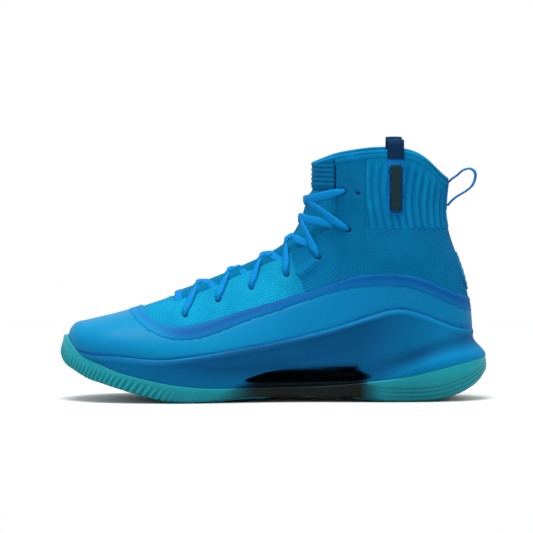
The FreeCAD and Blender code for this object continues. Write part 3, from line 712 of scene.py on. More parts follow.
def patch_of(u_low, u_high, u_step, a_step, *tests, depth=KNIT_DEPTH, a_range=None):
    """Patch of the last where every test of x, y, z is positive."""
    us = np.arange(u_low, u_high + 1e-6, u_step)
    if a_range:
        a_values = np.linspace(a_range[0], a_range[1], int((a_range[1] - a_range[0]) * 42 / a_step))
        p = grid(us, a_values)
    else:
        p = grid(us, angles(int(2 * math.pi * 42 / a_step)), wrap=True)
    for test in tests:
        field = side_field(test, depth)
        p.snapped(field, 0.35 * min(u_step, a_step))
        p = p.cut(field)
    return p


def make_film():
    patch = patch_of(-1.0, U_END, 1.6, 1.6,
                     lambda x, y, z: -over(band_low, x, z, 1.5),
                     lambda x, y, z: over(midsole_top, x, z, -6.0), depth=0.0)

    def relief(x, y, z, u, a, edge):
        crease = sum(w * np.exp(-((x - c - 0.12 * (z - 40)) / 1.1) ** 2)
                     for c, w in ((51, 0.16), (57.5, 0.22), (64, 0.20), (70.5, 0.26), (77, 0.12)))
        side = soft_step(54 - z, 0, 8) * soft_step(z - 33, 0, 6)
        return -crease * side + 0.10 * np.sin(x * 0.11 + 0.7) * np.sin(z * 0.17)

    obj = cloth("film_quarter_and_toe", patch, 0.0, 0.8, relief, edge=0.9)
    p = vertices(obj)
    # Painted shade and shadow: the film is darkened low on the toe, so that the top of the toe reads as lit, and
    # towards the heel. This is mostly painted shade and partly the film's own change of colour. The tone along the
    # top of the midsole is a painted shadow line.
    low = soft_step(58 - p[:, 2], 0, 26)
    back = soft_step(60 - p[:, 0], 0, 90)
    gap_shadow = np.exp(-(np.maximum(p[:, 2] - midsole_top(p[:, 0]), 0) / 1.1) ** 2)
    tone = np.clip(0.35 * low * soft_step(p[:, 0], 60, 120) + 0.4 * back + 1.0 * gap_shadow, 0, 1)
    dress(obj, FILM, "film_gloss", "shoe", "forefoot", tone=tone, replaces=("toe_film", "sidewall_film"))


def make_band():
    patch = patch_of(20.0, U_END, 1.2, 1.2,
                     lambda x, y, z: over(band_low, x, z), lambda x, y, z: -over(band_top, x, z), depth=0.0)

    def relief(x, y, z, u, a, edge):
        return 0.18 * np.exp(-((edge - 1.6) / 0.7) ** 2)

    obj = cloth("film_edge_band", patch, -0.35, 1.15, relief, edge=0.8)
    p = vertices(obj)
    middle = np.clip(over(band_low, p[:, 0], p[:, 2]), 0, 12) / 12
    front = soft_step(p[:, 0], 55, 95)
    tone = np.clip(0.95 - 1.2 * np.abs(middle - 0.5) - 0.75 * front, 0, 1)
    dress(obj, BAND, "film_edge", "shoe", "forefoot", tone=tone,
          replaces=("film_edge_band", "film_edge_band_toe"))


def pleats(x, z):
    """Radial lines that fan down from the eyelets over the forefoot knit."""
    total = np.zeros_like(x)
    for ex, ez in EYELETS[:5]:
        for k, lean in enumerate((-0.42, -0.18, 0.06, 0.30)):
            drop = ez + 6 - z
            centre = ex + lean * drop
            width = 0.55 + 0.008 * np.abs(drop)
            total += np.exp(-((x - centre) / width) ** 2) * soft_step(drop, 2, 9) * (0.8 + 0.2 * (k % 2))
    return np.minimum(total, 1.2)


def make_forefoot_knit():
    patch = patch_of(28.0, 215.0, 0.8, 0.8,
                     lambda x, y, z: over(band_low, x, z, 2.5), lambda x, y, z: before_seam(x, z) + 2.0,
                     lambda x, y, z: -in_throat(x, z), lambda x, y, z: near_eyelet(x, z))

    def relief(x, y, z, u, a, edge):
        stitch = 0.07 * np.sin(2 * np.pi * (u + 0.5 * a * KNIT_RADIUS) / 2.1) \
            * np.sin(2 * np.pi * a * KNIT_RADIUS / 3.0)
        hem = 0.5 * np.exp(-((in_throat(x, z) + 1.6) / 1.1) ** 2)
        puff = 0.55 * np.sin(np.clip((near_eyelet(x, z)) / 9, 0, 1) * np.pi)
        return 0.24 * pleats(x, z) + stitch + hem + puff

    obj = cloth("forefoot_knit", patch, KNIT_DEPTH, 1.7, relief, edge=1.0)
    p = vertices(obj)
    tone = np.clip(0.9 * soft_step(-p[:, 0], 2, 16) + 0.25 * soft_step(70 - p[:, 2], 0, 14), 0, 1)
    tone = np.clip(tone - 0.35 * pleats(p[:, 0], p[:, 2]), 0, 1)
    dress(obj, KNIT_LIGHT, "knit_light", "shoe", "forefoot", tone=tone,
          replaces=("forefoot_knit", "toe_base_knit", "vamp_flex_panel", "eyestay_medial", "eyestay_lateral"))


def zigzag(value):
    """Straight wave from 0 to 1, one cycle per whole number."""
    return np.abs(value % 1.0 - 0.5) * 2


RIB_PITCH = 3.0
RIB_FRONT, RIB_LOW, RIM_SMOOTH = -64.0, 119.5, 6.5


def around_collar(a):
    """Millimetres round the collar."""
    return a * 33.0


def rib_phase(u, a):
    """Count of ribs round the collar; they lean a little and are wider towards the heel."""
    back = np.abs(a) / math.pi
    place = around_collar(a) + np.sign(a) * (0.06 * (U_END - u) + 3.0 * back ** 3)
    return place / (RIB_PITCH * (1 + 0.35 * back ** 2))


def make_collar():
    def low_edge(u, a):
        p = skin(u, a, KNIT_DEPTH)
        return p[:, 2] - RIB_LOW - 1.3 * zigzag(rib_phase(u, a))

    patch = patch_of(250.0, U_END, 1.0, 0.42,
                     lambda x, y, z: RIB_FRONT - x, lambda x, y, z: -over(rim_z, x, z, -RIM_SMOOTH + 1.5))
    patch = patch.cut(low_edge)

    def ribs(x, y, z, u, a, edge):
        strong = (0.75 + 0.5 * soft_step(-x, 88, 100)) * soft_step(-over(rim_z, x, z, -RIM_SMOOTH), -1.5, 7.0)
        return strong * (np.abs(np.cos(np.pi * rib_phase(u, a))) ** 0.8 - 0.5)

    obj = cloth("collar_rib_knit", patch, 0.75, 1.6, ribs, edge=0.7)
    p = vertices(obj)
    phase = np.concatenate([rib_phase(patch.u, patch.a)] * 2)
    fade = soft_step(-over(rim_z, p[:, 0], p[:, 2], -RIM_SMOOTH), -1.0, 8.0)
    # Painted shade: the grooves between the ribs are darkened.
    tone = 0.25 + (1.2 * (1 - np.abs(np.cos(np.pi * phase)) ** 1.5) - 0.25) * fade
    dress(obj, KNIT_RIB, "knit_rib", "shoe", tone=tone, replaces=("collar_rib_knit",))

    patch = patch_of(225.0, U_END, 1.0, 1.0,
                     lambda x, y, z: over(rim_z, x, z, -RIM_SMOOTH), lambda x, y, z: -over(rim_z, x, z, -1.0),
                     lambda x, y, z: -42.0 - x)

    def roll(x, y, z, u, a, edge):
        return 0.5 * np.sin(np.clip(edge / 2.6, 0, 1) * np.pi / 2)

    obj = cloth("collar_plain_band", patch, 0.8, 1.8, roll, edge=0.8)
    dress(obj, KNIT_RIB, "knit_rib", "shoe", replaces=("collar_top_band",),
          tone=np.full(len(obj.data.vertices), 0.22))

    patch = patch_of(225.0, U_END, 0.6, 0.8,
                     lambda x, y, z: x + 42.0, lambda x, y, z: z - 149.0, lambda x, y, z: -over(rim_z, x, z, -0.8),
                     a_range=(-2.2, 2.2))

    def front_ribs(x, y, z, u, a, edge):
        return 0.85 * (np.abs(np.cos(np.pi * (z - 149.0) / 3.3)) ** 0.6 - 0.4)

    obj = cloth("front_stretch_panel", patch, KNIT_DEPTH, 1.8, front_ribs, edge=1.0)
    p = vertices(obj)
    # Painted shade: the grooves between the ribs are darkened.
    tone = 0.8 * (1 - np.abs(np.cos(np.pi * (p[:, 2] - 149.0) / 3.3)))
    dress(obj, KNIT_DARK, "knit_dark", "shoe", tone=tone, replaces=("front_stretch_panel",))


def make_ankle_knit():
    def not_ribbed(u, a):
        p = skin(u, a, KNIT_DEPTH)
        return -np.minimum(RIB_FRONT - 0.8 - p[:, 0], p[:, 2] - RIB_LOW - 2.6)

    patch = patch_of(150.0, U_END, 1.0, 1.0,
                     lambda x, y, z: over(band_top, x, z, -2.5), lambda x, y, z: -before_seam(x, z) + 0.5,
                     lambda x, y, z: -over(rim_z, x, z, -RIM_SMOOTH + 1.0),
                     lambda x, y, z: -in_throat(x, z), lambda x, y, z: near_eyelet(x, z))
    patch = patch.cut(not_ribbed)
    front = side_field(lambda x, y, z: -np.minimum(x + 43.0, z - 149.6))
    patch = patch.cut(front)

    def relief(x, y, z, u, a, edge):
        bone = 1.7 * np.exp(-((x + 82) / 26) ** 2 - ((z - 103) / 15) ** 2)
        s = np.hypot(x + 8, z - 112)
        fold = 1.3 * np.exp(-((s - 24.5) / 2.3) ** 2) * soft_step(-z, -109, -96) * soft_step(-x, 8, 20) \
            * soft_step(x, -40, -28)
        groove = -0.8 * np.exp(-((s - 29.5) / 2.6) ** 2) * soft_step(-z, -109, -94) * soft_step(x, -42, -30)
        hem = 0.45 * np.exp(-((in_throat(x, z) + 1.6) / 1.1) ** 2)
        stitch = 0.05 * np.sin(2 * np.pi * u / 2.4) * np.sin(2 * np.pi * a * 34 / 2.4)
        return bone + fold + groove + hem + stitch

    obj = cloth("ankle_knit", patch, KNIT_DEPTH, 1.7, relief, edge=1.0)
    p = vertices(obj)
    s = np.hypot(p[:, 0] + 8, p[:, 2] - 112)
    # Painted shade in the groove round the ankle fold, and a painted highlight on the fold itself.
    tone = np.clip(0.25 + 0.5 * np.exp(-((s - 30.5) / 2.6) ** 2) * soft_step(-p[:, 2], -109, -94)
                   - 0.9 * np.exp(-((s - 24.5) / 2.6) ** 2) * soft_step(-p[:, 2], -109, -96)
                   * soft_step(p[:, 0], -40, -30), 0, 1)
    dress(obj, KNIT_DARK, "knit_dark", "shoe", tone=tone, replaces=("ankle_knit",))


def make_gusset():
    patch = patch_of(60.0, U_END, 0.8, 1.0, lambda x, y, z: in_throat(x, z, 1.6), lambda x, y, z: 149.4 - z,
                     a_range=(-1.6, 1.6))

    # away from its edges the bridge rises 3 mm, which buries the underside of the laces
    def relief(x, y, z, u, a, edge):
        return 0.45 * (np.abs(np.cos(np.pi * u / 2.9)) ** 0.6 - 0.4) + 3.0 * soft_step(edge, 0.8, 7.5)

    obj = cloth("throat_bridge", patch, 1.75, 1.9, relief, edge=1.0)
    # Painted shade: the grooves between the ribs are darkened.
    tone = 0.7 * (1 - np.abs(np.cos(np.pi * np.concatenate([patch.u, patch.u]) / 2.9)))
    dress(obj, GUSSET, "knit_dark", "shoe", tone=tone, replaces=("throat_gusset", "tongue"))


def rim_path(depth, shift, count=220):
    """Points round the collar's rim at a depth, with outward normals."""
    a_values = angles(count)
    low, high = np.full(count, 225.0), np.full(count, U_END)
    for _ in range(30):
        mid = (low + high) / 2
        p = skin(mid, a_values, depth)
        above = p[:, 2] > rim_z(p[:, 0]) + shift
        high, low = np.where(above, mid, high), np.where(above, low, mid)
    return skin_frame((low + high) / 2, a_values, depth)


def sweep(name, centre, side, up, width, height, closed, profile=None, sections=12):
    """Tube whose section is an oval width by height in the frame side, up."""
    centre, side, up = (np.asarray(v, float) for v in (centre, side, up))
    n = len(centre)
    width, height = np.broadcast_to(width, (n,)), np.broadcast_to(height, (n,))
    turn = 2 * np.pi * np.arange(sections) / sections
    power = 0.75
    cs = np.sign(np.cos(turn)) * np.abs(np.cos(turn)) ** power
    sn = np.sign(np.sin(turn)) * np.abs(np.sin(turn)) ** power
    points = (centre[:, None] + side[:, None] * (cs[None, :, None] * width[:, None, None] / 2)
              + up[:, None] * (sn[None, :, None] * height[:, None, None] / 2))
    run = np.concatenate([[0], np.cumsum(np.linalg.norm(np.diff(centre, axis=0), axis=1))])
    faces = []
    for i in range(n if closed else n - 1):
        k = (i + 1) % n
        for j in range(sections):
            q = (j + 1) % sections
            faces.append([i * sections + j, i * sections + q, k * sections + q, k * sections + j])
    if not closed:
        faces.append(list(range(sections))[::-1])
        faces.append([(n - 1) * sections + j for j in range(sections)])
    flat = points.reshape(-1, 3)
    if not outward(flat, faces):
        faces = [f[::-1] for f in faces]
    uv = np.stack([np.repeat(run, sections), np.tile(cs, n) * np.repeat(width, sections) / 2], axis=1)
    return make_mesh(name, flat, faces, uv)


def make_rim():
    p, normal = rim_path(2.6, -1.2)
    up = np.zeros_like(p)
    up[:, 2] = 1.0
    flat = unit(normal * [1, 1, 0])
    obj = sweep("collar_rim_hem", p, flat, up, 4.4, 3.0, True, sections=16)
    dress(obj, KNIT_RIB, "knit_rib", "shoe", replaces=("collar_rim_hem",))


def lining_depth(u):
    """Depth of the lining's outer face."""
    return np.interp(np.clip(u, 0, U_END), STATION, SECTIONS[:, 11])


def layer(name, patch, outer, inner):
    """Shell inside the upper, with the lining's scale of weave."""
    return shell(name, patch, outer, inner, np.stack([patch.u, patch.a * LINING_RADIUS], axis=1))


def make_lining():
    patch = patch_of(4.0, U_END, 2.2, 2.2, lambda x, y, z: z - footbed(x) - 3.0,
                     lambda x, y, z: -over(rim_z, x, z, -1.6), depth=6.0)
    outer, _ = skin_frame(patch.u, patch.a, lining_depth(patch.u))
    inner, normal = skin_frame(patch.u, patch.a, lining_depth(patch.u) + 0.8)
    bone = 0.9 * np.exp(-((inner[:, 0] + 84) / 24) ** 2 - ((inner[:, 2] - 104) / 18) ** 2)
    channel = 0.25 * np.abs(np.cos(np.pi * inner[:, 2] / 9.0)) * soft_step(inner[:, 2], 130, 140)
    inner = inner - normal * (bone + channel)[:, None]
    obj = layer("sock_lining", patch, outer, inner)
    dress(obj, LINING, "lining", "shoe", "forefoot",
          replaces=("sock_lining_rearfoot", "sock_lining_forefoot"))


def make_padding():
    """Foam pads and stiffeners between knit and lining."""
    for name, side in (("medial", 1), ("lateral", -1)):
        oval = smooth_closed([(-84 + 26 * math.cos(k), 104 + 20 * math.sin(k))
                              for k in np.arange(12) * math.pi / 6], 8)
        patch = patch_of(170.0, U_END, 2.0, 2.0, lambda x, y, z: inside_polygon(oval, x, z),
                         lambda x, y, z, s=side: s * y - 4.0)
        inner, _ = skin_frame(patch.u, patch.a, np.maximum(lining_depth(patch.u) - 0.15, 4.4))
        outer, _ = skin_frame(patch.u, patch.a, 2.8)
        share = rounded(edge_distance(patch, outer), 9.0, 0.3)[:, None]
        obj = layer(f"ankle_pad_{name}", patch, inner + (outer - inner) * share, inner)
        dress(obj, CREAM, "padding", "shoe", replaces=(f"ankle_pad_{name}",))

    def heel_area(x, y, z):
        return np.minimum(-62.0 - x + 0.35 * (z - 24), 70.0 - z)

    patch = patch_of(150.0, U_END, 2.2, 2.2, heel_area, lambda x, y, z: z - footbed(x) - 3.0)
    outer, _ = skin_frame(patch.u, patch.a, 4.1)
    inner, _ = skin_frame(patch.u, patch.a, 6.8)
    share = rounded(edge_distance(patch, outer), 7.0, 0.3)[:, None]
    obj = layer("heel_foam", patch, inner + (outer - inner) * share, inner)
    dress(obj, CREAM, "padding", "shoe", replaces=("heel_foam",))
    outer, _ = skin_frame(patch.u, patch.a, 2.75)
    inner, _ = skin_frame(patch.u, patch.a, 3.95)
    obj = layer("heel_counter", patch, outer, inner)
    dress(obj, CREAM, "stiffener", "shoe", replaces=("heel_counter",))
    patch = patch_of(1.0, 60.0, 2.0, 2.0, lambda x, y, z: x - 99.0, lambda x, y, z: z - footbed(x) - 3.0)
    outer, _ = skin_frame(patch.u, patch.a, 2.75)
    inner, _ = skin_frame(patch.u, patch.a, 3.95)
    obj = layer("toe_puff", patch, outer, inner)
    dress(obj, CREAM, "stiffener", "forefoot", replaces=("toe_puff",))


# ---- sole ----------------------------------------------------------------------------------------
PERIMETER = 700.0 / (2 * math.pi)      # millimetres round the sole wall per radian


def outline(turn, z, inset=0.0):
    """Points of the sole wall; turn 0 is the heel, a quarter the medial side, a half the toe."""
    z = np.asarray(z, float)
    stand_in, toe, heel = natural_spline(WALL[:, 0], WALL[:, 1:], z).T
    toe, heel = toe - inset, heel + inset
    span = (toe - heel)[:, None]
    share = np.array([p[0] for p in PLAN])
    medial = np.array([p[1] for p in PLAN])[None] - (stand_in + inset)[:, None]
    lateral = np.array([p[2] for p in PLAN])[None] - (stand_in + inset)[:, None]
    x_side = heel[:, None] + share[None] * span
    zeros, toe_y = np.zeros((len(z), 1)), np.full((len(z), 1), TOE_Y)
    x = np.hstack([heel[:, None], x_side, toe[:, None], x_side[:, ::-1]])
    y = np.hstack([zeros, medial, toe_y, -lateral[:, ::-1]])
    points = np.stack([x, y, np.zeros_like(x)], axis=2)
    flat = around(points, PLAN_FILTER, turn)
    flat[:, 2] = z
    return flat


def wall_height(turn, height, shift=0.0, inset=0.0):
    """Where the wall meets a side-view line."""
    z = np.full(len(turn), 25.0)
    for _ in range(25):
        z = 0.4 * z + 0.6 * (height(outline(turn, z, inset)[:, 0]) + shift)
    return z


class Wall:
    """Band of the sole wall between two side-view lines; the patch's u is the share of its height."""

    def __init__(self, low, high, low_shift=0.0, high_shift=0.0, rows=26, columns=760):
        self.patch = grid(np.linspace(0, 1, rows), angles(columns), wrap=True)
        self.table = np.linspace(0, 1, 721)
        self.low = wall_height(self.table, low, low_shift)
        self.high = wall_height(self.table, high, high_shift)

    def place(self, u, a, inset=0.0):
        turn = (np.asarray(a) / (2 * np.pi)) % 1.0
        low, high = np.interp(turn, self.table, self.low), np.interp(turn, self.table, self.high)
        z = low + np.asarray(u) * (high - low)
        if np.size(inset) == 1:
            return outline(turn, z, float(np.ravel(inset)[0]))
        shallow, deep = outline(turn, z, 0.0), outline(turn, z, 10.0)
        return shallow + (deep - shallow) * (np.asarray(inset) / 10.0)[:, None]

    def tall(self, u, a):
        turn = (np.asarray(a) / (2 * np.pi)) % 1.0
        return np.interp(turn, self.table, self.high) - np.interp(turn, self.table, self.low)

    def normal(self, u, a):
        e = 0.01
        across = self.place(u, a + e) - self.place(u, a - e)
        across[:, 2] = 0
        n = np.stack([across[:, 1], -across[:, 0], np.zeros(len(across))], axis=1)
        n /= np.maximum(np.linalg.norm(n, axis=1, keepdims=True), 1e-9)
        return n * np.sign(np.sum(n * self.place(u, a), axis=1, keepdims=True))


window_shape = smooth_closed(ARCH_WINDOW, 5)


def arch_shade(x, z):
    """From 0 to 1: how deep in the shade of the arch a point of the sole's side lies."""
    top = np.interp(x, [-66, -58, -8, 10, 40], [12.0, 24.5, 22.0, 16.0, 5.0])
    return soft_step(x, -78, -58) * (1 - soft_step(x, 8, 48)) * (1 - soft_step(z - top, -1.5, 4.0))


def make_midsole():
    wall = Wall(outsole_top, midsole_top, -0.8, 0.0, rows=40, columns=900)
    patch = wall.patch.cut(lambda u, a: wall.tall(u, a) - 0.9)

    def outside_window(u, a):
        p = wall.place(u, a)
        return np.where(p[:, 1] > 0, -inside_polygon(window_shape, p[:, 0], p[:, 2]), 50.0)

    patch = patch.cut(outside_window)
    base, normal = wall.place(patch.u, patch.a), wall.normal(patch.u, patch.a)
    x, z, t = base[:, 0], base[:, 2], patch.u
    fore = soft_step(x, -40, 30)
    heel = soft_step(-x, 55, 110)
    # the forefoot wall bellies out; the heel wall is hollow above a crease that climbs from the arch window
    crease = 16.0 + 20.0 * soft_step(-x, 62, 150) ** 0.8
    hollow = np.exp(-((z - crease - 7.5) / 5.0) ** 2) * heel
    flare = np.exp(-((z - crease + 3.0) / 4.5) ** 2) * heel
    window_edge = np.exp(-np.maximum(-inside_polygon(window_shape, x, z), 0) / 3.2) * (base[:, 1] > 0)
    bulge = 0.9 * np.sin(np.pi * np.clip(t, 0, 1)) * fore - 1.5 * hollow + 1.2 * flare * soft_step(-x, 66, 95)
    bulge = bulge - 0.5 * np.sin(np.pi * t) * (1 - fore) * (1 - heel) - 1.1 * window_edge
    lip = soft_step(1 - t, 0.0, 0.085)
    height = np.maximum(wall.tall(patch.u, patch.a), 1.0)
    top_round = np.clip((1 - t) * height / 2.6, 0, 1)
    low_round = np.clip(t * height / 1.6, 0, 1)
    rounding = -1.9 * (1 - np.sqrt(1 - (1 - top_round) ** 2)) - 1.0 * (1 - np.sqrt(1 - (1 - low_round) ** 2))
    bead = 0.35 * np.exp(-(((1 - t) * height - 3.6) / 1.5) ** 2)
    outer = base + normal * (bulge + rounding + bead)[:, None]
    thick = 4.2 + 13.5 * soft_step(24.5 - z, -1.5, 2.5)
    thick = np.minimum(thick, 17.5)
    toe_end = soft_step(x, 120, 146)
    inner = wall.place(patch.u, patch.a, thick * (1 - 0.5 * toe_end) + 1.5)
    uv = np.stack([patch.u * 30, patch.a * PERIMETER], axis=1)
    obj = shell("midsole_foam", patch, outer, inner, uv, period=2 * math.pi * PERIMETER)
    # Painted light and shade: the wall is darkened as painted shade in the hollow above the heel crease and around
    # the arch window, and lightened as painted highlights on the heel flare and along the top lip. It is darker
    # everywhere but towards the heel. The inner face is painted deep as painted shade.
    tone = np.clip(0.25 + 0.75 * np.exp(-((x - 10) / 62) ** 2) * soft_step(t, 0.1, 0.8)
                   + 0.25 * np.exp(-((x + 62) / 26) ** 2) * (1 - flare) + 0.45 * hollow - 0.5 * flare
                   - 0.8 * (1 - lip), 0, 1)
    tone = np.clip(tone + 0.32 - 0.32 * soft_step(-x, 95, 125), 0, 1)
    tone = 0.5 * tone + (1 - 0.5 * tone) * arch_shade(x, z) * (base[:, 1] > 0)
    dress(obj, FOAM, "midsole_foam", "shoe", "forefoot", tone=np.concatenate([tone, np.ones(len(tone))]),
          replaces=("midsole_rearfoot", "midsole_forefoot"))


def make_outsole_wall():
    wall = Wall(ground, outsole_top, 1.0, 0.0, rows=34, columns=1500)
    patch = wall.patch
    base, normal = wall.place(patch.u, patch.a), wall.normal(patch.u, patch.a)
    x, z, t = base[:, 0], base[:, 2], patch.u
    height = np.maximum(wall.tall(patch.u, patch.a), 1.0)
    low_round, top_round = np.clip(t * height / 3.2, 0, 1), np.clip((1 - t) * height / 0.9, 0, 1)
    rounding = -2.2 * (1 - np.sqrt(1 - (1 - low_round) ** 2)) - 0.8 * (1 - np.sqrt(1 - (1 - top_round) ** 2))
    along = patch.a * PERIMETER
    lean = np.sign(patch.a)
    toe = soft_step(x, 62, 86)
    phase = (along + lean * 0.75 * z) / 5.2
    tooth = np.clip(1.4 * np.sin(2 * np.pi * phase), -1, 1) * toe * soft_step(t * height, 13.5, 2.0) \
        * (1 - soft_step(t, 0.55, 0.9))
    layers = soft_step(-x, 62, 90)
    above = z - ground(x)
    lines = sum(np.exp(-((above - level) / 0.55) ** 2) for level in (4.2, 7.4, 10.2)) * layers
    side = (1 - toe) * (1 - layers)
    fine = 0.25 * np.sin(2 * np.pi * along / 3.1) * side * (1 - soft_step(t, 0.4, 0.8))
    outer = base + normal * (0.55 + rounding + 0.62 * tooth - 0.5 * lines + fine)[:, None]
    outer[:, 2] -= 0.7 * np.clip(tooth, 0, 1) * (1 - t) * 0.6
    inner = wall.place(patch.u, patch.a, np.full(len(patch.u), 3.6))
    uv = np.stack([t * 14, along], axis=1)
    obj = shell("outsole_wall", patch, outer, inner, uv, period=2 * math.pi * PERIMETER)
    # Painted light and shade: the heel's grooves, the valleys between the toe teeth and the arch are darkened as
    # painted shade. The tooth tips and the top edge are lightened as painted highlights. The wall is also darker
    # low on the heel and lighter towards the toe and heel ends.
    arch = np.exp(-((x + 25) / 40) ** 4)
    tone = np.clip(0.35 + 0.35 * (1 - t) * layers + 0.5 * lines - 0.35 * np.clip(tooth, 0, 1)
                   + 0.35 * np.clip(-tooth, 0, 1) + 0.75 * arch - 0.35 * soft_step(t, 0.6, 1.0)
                   - 0.35 * soft_step(np.abs(x), 95, 140), 0, 1)
    tone = 0.5 * tone + (1 - 0.5 * tone) * arch_shade(x, z)
    dress(obj, RUBBER, "outsole_rubber", "shoe", "forefoot", tone=np.concatenate([tone, tone]),
          replaces=("outsole_rearfoot", "outsole_forefoot"))


def herringbone(x, y):
    """Tread height from 0 to 1: zigzag blocks across the sole."""
    zig = np.abs(((y / 14.0) % 1.0) - 0.5) * 14.0
    wave = np.abs((((x + zig * 1.1) / 7.2) % 1.0) - 0.5) * 2
    return soft_step(wave, 0.22, 0.5)


def make_outsole_bottom():
    turns = np.linspace(0, 1, 361)[:-1]
    low = wall_height(turns, ground, 1.0)
    rim = outline(turns, low, 1.7)[:, :2]
    xs, ys = np.arange(-150, 151, 1.25), np.arange(-56, 57, 1.25)
    patch = grid(xs, ys)
    patch = patch.cut(lambda u, a: inside_polygon(rim, u, a))
    x, y = patch.u, patch.a
    edge = inside_polygon(rim, x, y)
    pivot = np.hypot(x - 62, y - 18)
    rings = soft_step(np.abs(((pivot / 7.0) % 1.0) - 0.5) * 2, 0.22, 0.5)
    near = soft_step(28 - pivot, -2, 2)
    block = herringbone(x, y) * (1 - near) + rings * near
    arch = soft_step(x, -60, -50) * (1 - soft_step(x, -2, 8))
    seamline = np.exp(-((edge - 7.0) / 0.9) ** 2)
    rise = 1.7 * (1 - block) * soft_step(edge, 1.0, 3.0) * (1 - arch) + 1.6 * seamline * (1 - arch) + 0.9 * arch
    z = np.maximum(ground(x), 0.0) + 0.05 + rise + 1.2 * (1 - np.sqrt(1 - (1 - np.clip(edge / 2.5, 0, 1)) ** 2))
    outer = np.stack([x, y, z], axis=1)
    inner = np.stack([x, y, np.maximum(ground(x), 0.0) + 4.6], axis=1)
    obj = shell("outsole_tread", patch, outer, inner, np.stack([x, y], axis=1))
    # Painted shade: the tread's grooves and the recessed arch are darkened.
    tone = np.clip(0.12 + 0.25 * (1 - block) + 0.75 * arch, 0, 1)
    dress(obj, RUBBER, "outsole_rubber", "shoe", "forefoot", tone=np.concatenate([tone, tone]))


def plan_piece(name, rim, top, bottom, step=2.2, split=None):
    """Closed sheet over a plan outline between two heights."""
    patch = grid(np.arange(-150, 150 + 0.1, step), np.arange(-56, 57, step))
    patch = patch.cut(lambda u, a: inside_polygon(rim, u, a))
    if split:
        patch = patch.cut(split)
    edge = inside_polygon(rim, patch.u, patch.a)
    outer = np.stack([patch.u, patch.a, top(patch.u, patch.a, edge)], axis=1)
    inner = np.stack([patch.u, patch.a, bottom(patch.u, patch.a, edge)], axis=1)
    return shell(name, patch, outer, inner, np.stack([patch.u, patch.a], axis=1))


def convex_plan(depth, height):
    """Half widths of the last at a depth along x, as a closed plan outline."""
    xs = np.linspace(-131, 143, 70)
    us, aa = np.meshgrid(np.linspace(-0.9, U_END * 0.8, 260), angles(260), indexing="ij")
    p = skin(us.ravel(), aa.ravel(), depth)
    level = np.abs(p[:, 2] - footbed(p[:, 0]) - height) < 1.6
    p = p[level]
    medial, lateral = [], []
    for x in xs:
        near = p[np.abs(p[:, 0] - x) < 2.4]
        if len(near) > 3:
            medial.append((x, near[:, 1].max()))
            lateral.append((x, near[:, 1].min()))
    return np.array(medial + lateral[::-1])


def make_footbed():
    rim = convex_plan(6.6, 6.0)

    def top(x, y, edge):
        cup = 2.6 * np.exp(-np.clip(edge, 0, 99) / 5.0)
        arch = 3.2 * np.exp(-((x + 20) / 40) ** 2) * soft_step(y, 4, 32)
        return footbed(x) + 6.0 + cup + arch - 0.4

    for name, body, node, split in (
            ("sockliner_rear", "insole", "sockliner_rearfoot", lambda u, a: 71.7 - u),
            ("sockliner_fore", "forefoot", "sockliner_forefoot", lambda u, a: u - 72.3)):
        obj = plan_piece(name, rim, top, lambda x, y, e: footbed(x) + 2.3, split=split)
        dress(obj, LINING, "sockliner", body, replaces=(node,))
    obj = plan_piece("strobel_board", rim * [0.99, 1.03], lambda x, y, e: footbed(x) + 1.9,
                     lambda x, y, e: footbed(x) + 0.2, step=4.0)
    dress(obj, LINING, "board", "shoe", "forefoot", replaces=("strobel_board_rearfoot", "strobel_board_forefoot"))
    core = plan_piece("midsole_core", rim * [0.98, 0.62], lambda x, y, e: footbed(x) - 0.1,
                      lambda x, y, e: np.maximum(ground(x), 0) + 4.9, step=4.0)
    dress(core, FOAM, "midsole_foam", "shoe", "forefoot")


def make_shank():
    """Ribbed plate seen in the arch window."""
    grow = smooth_closed([(14, 16.2), (4, 21.2), (-8, 22.8), (-34, 24.6), (-56, 25.2), (-61, 22.5), (-66, 12.6),
                          (18, 12.2)], 5)
    patch = grid(np.arange(-68, 20, 0.8), np.arange(11, 27, 0.7))
    patch = patch.cut(lambda u, a: inside_polygon(grow, u, a))
    x, z = patch.u, patch.a
    dish = 5.0 * soft_step(inside_polygon(grow, x, z), 0, 7)
    rib = 0.9 * np.exp(-((z - 19.5 - 0.02 * x) / 1.1) ** 2) + 0.9 * np.exp(-((z - 15.6) / 0.9) ** 2)
    width = np.interp(x, [-70, -40, -10, 20], [29.5, 28.5, 29.0, 31.0])
    outer = np.stack([x, width - dish + rib, z], axis=1)
    inner = np.stack([x, width - dish - 3.0, z], axis=1)
    obj = shell("shank_window_plate", patch, outer, inner, np.stack([x, z], axis=1))
    # Painted shade: the plate is darkened towards its bottom, in the shade under the arch.
    dress(obj, PLASTIC, "shank_plastic", "shoe", replaces=("shank_plate",),
          tone=np.concatenate([0.2 + 0.8 * soft_step(22 - z, 0, 8)] * 2))


# ---- lace ----------------------------------------------------------------------------------------
lookup_u, lookup_a = np.meshgrid(np.linspace(20, U_END, 420), angles(360), indexing="ij")
lookup_u, lookup_a = lookup_u.ravel(), lookup_a.ravel()
lookup_p = skin(lookup_u, lookup_a, KNIT_DEPTH)


def find(x, z, side):
    """Surface numbers of the point seen at x, z from one side."""
    ok = lookup_p[:, 1] * side > -2.0
    miss = np.hypot(lookup_p[:, 0] - x, lookup_p[:, 2] - z) + np.where(ok, 0, 100)
    k = int(np.argmin(miss))
    return lookup_u[k], lookup_a[k]


def surface_point(x, z, side, lift):
    """Point over the knit seen at x, z from one side, raised by lift, and the outward normal."""
    u, a = find(x, z, side)
    p, n = skin_frame(np.array([u]), np.array([a]), KNIT_DEPTH)
    return p[0] + n[0] * lift, n[0]


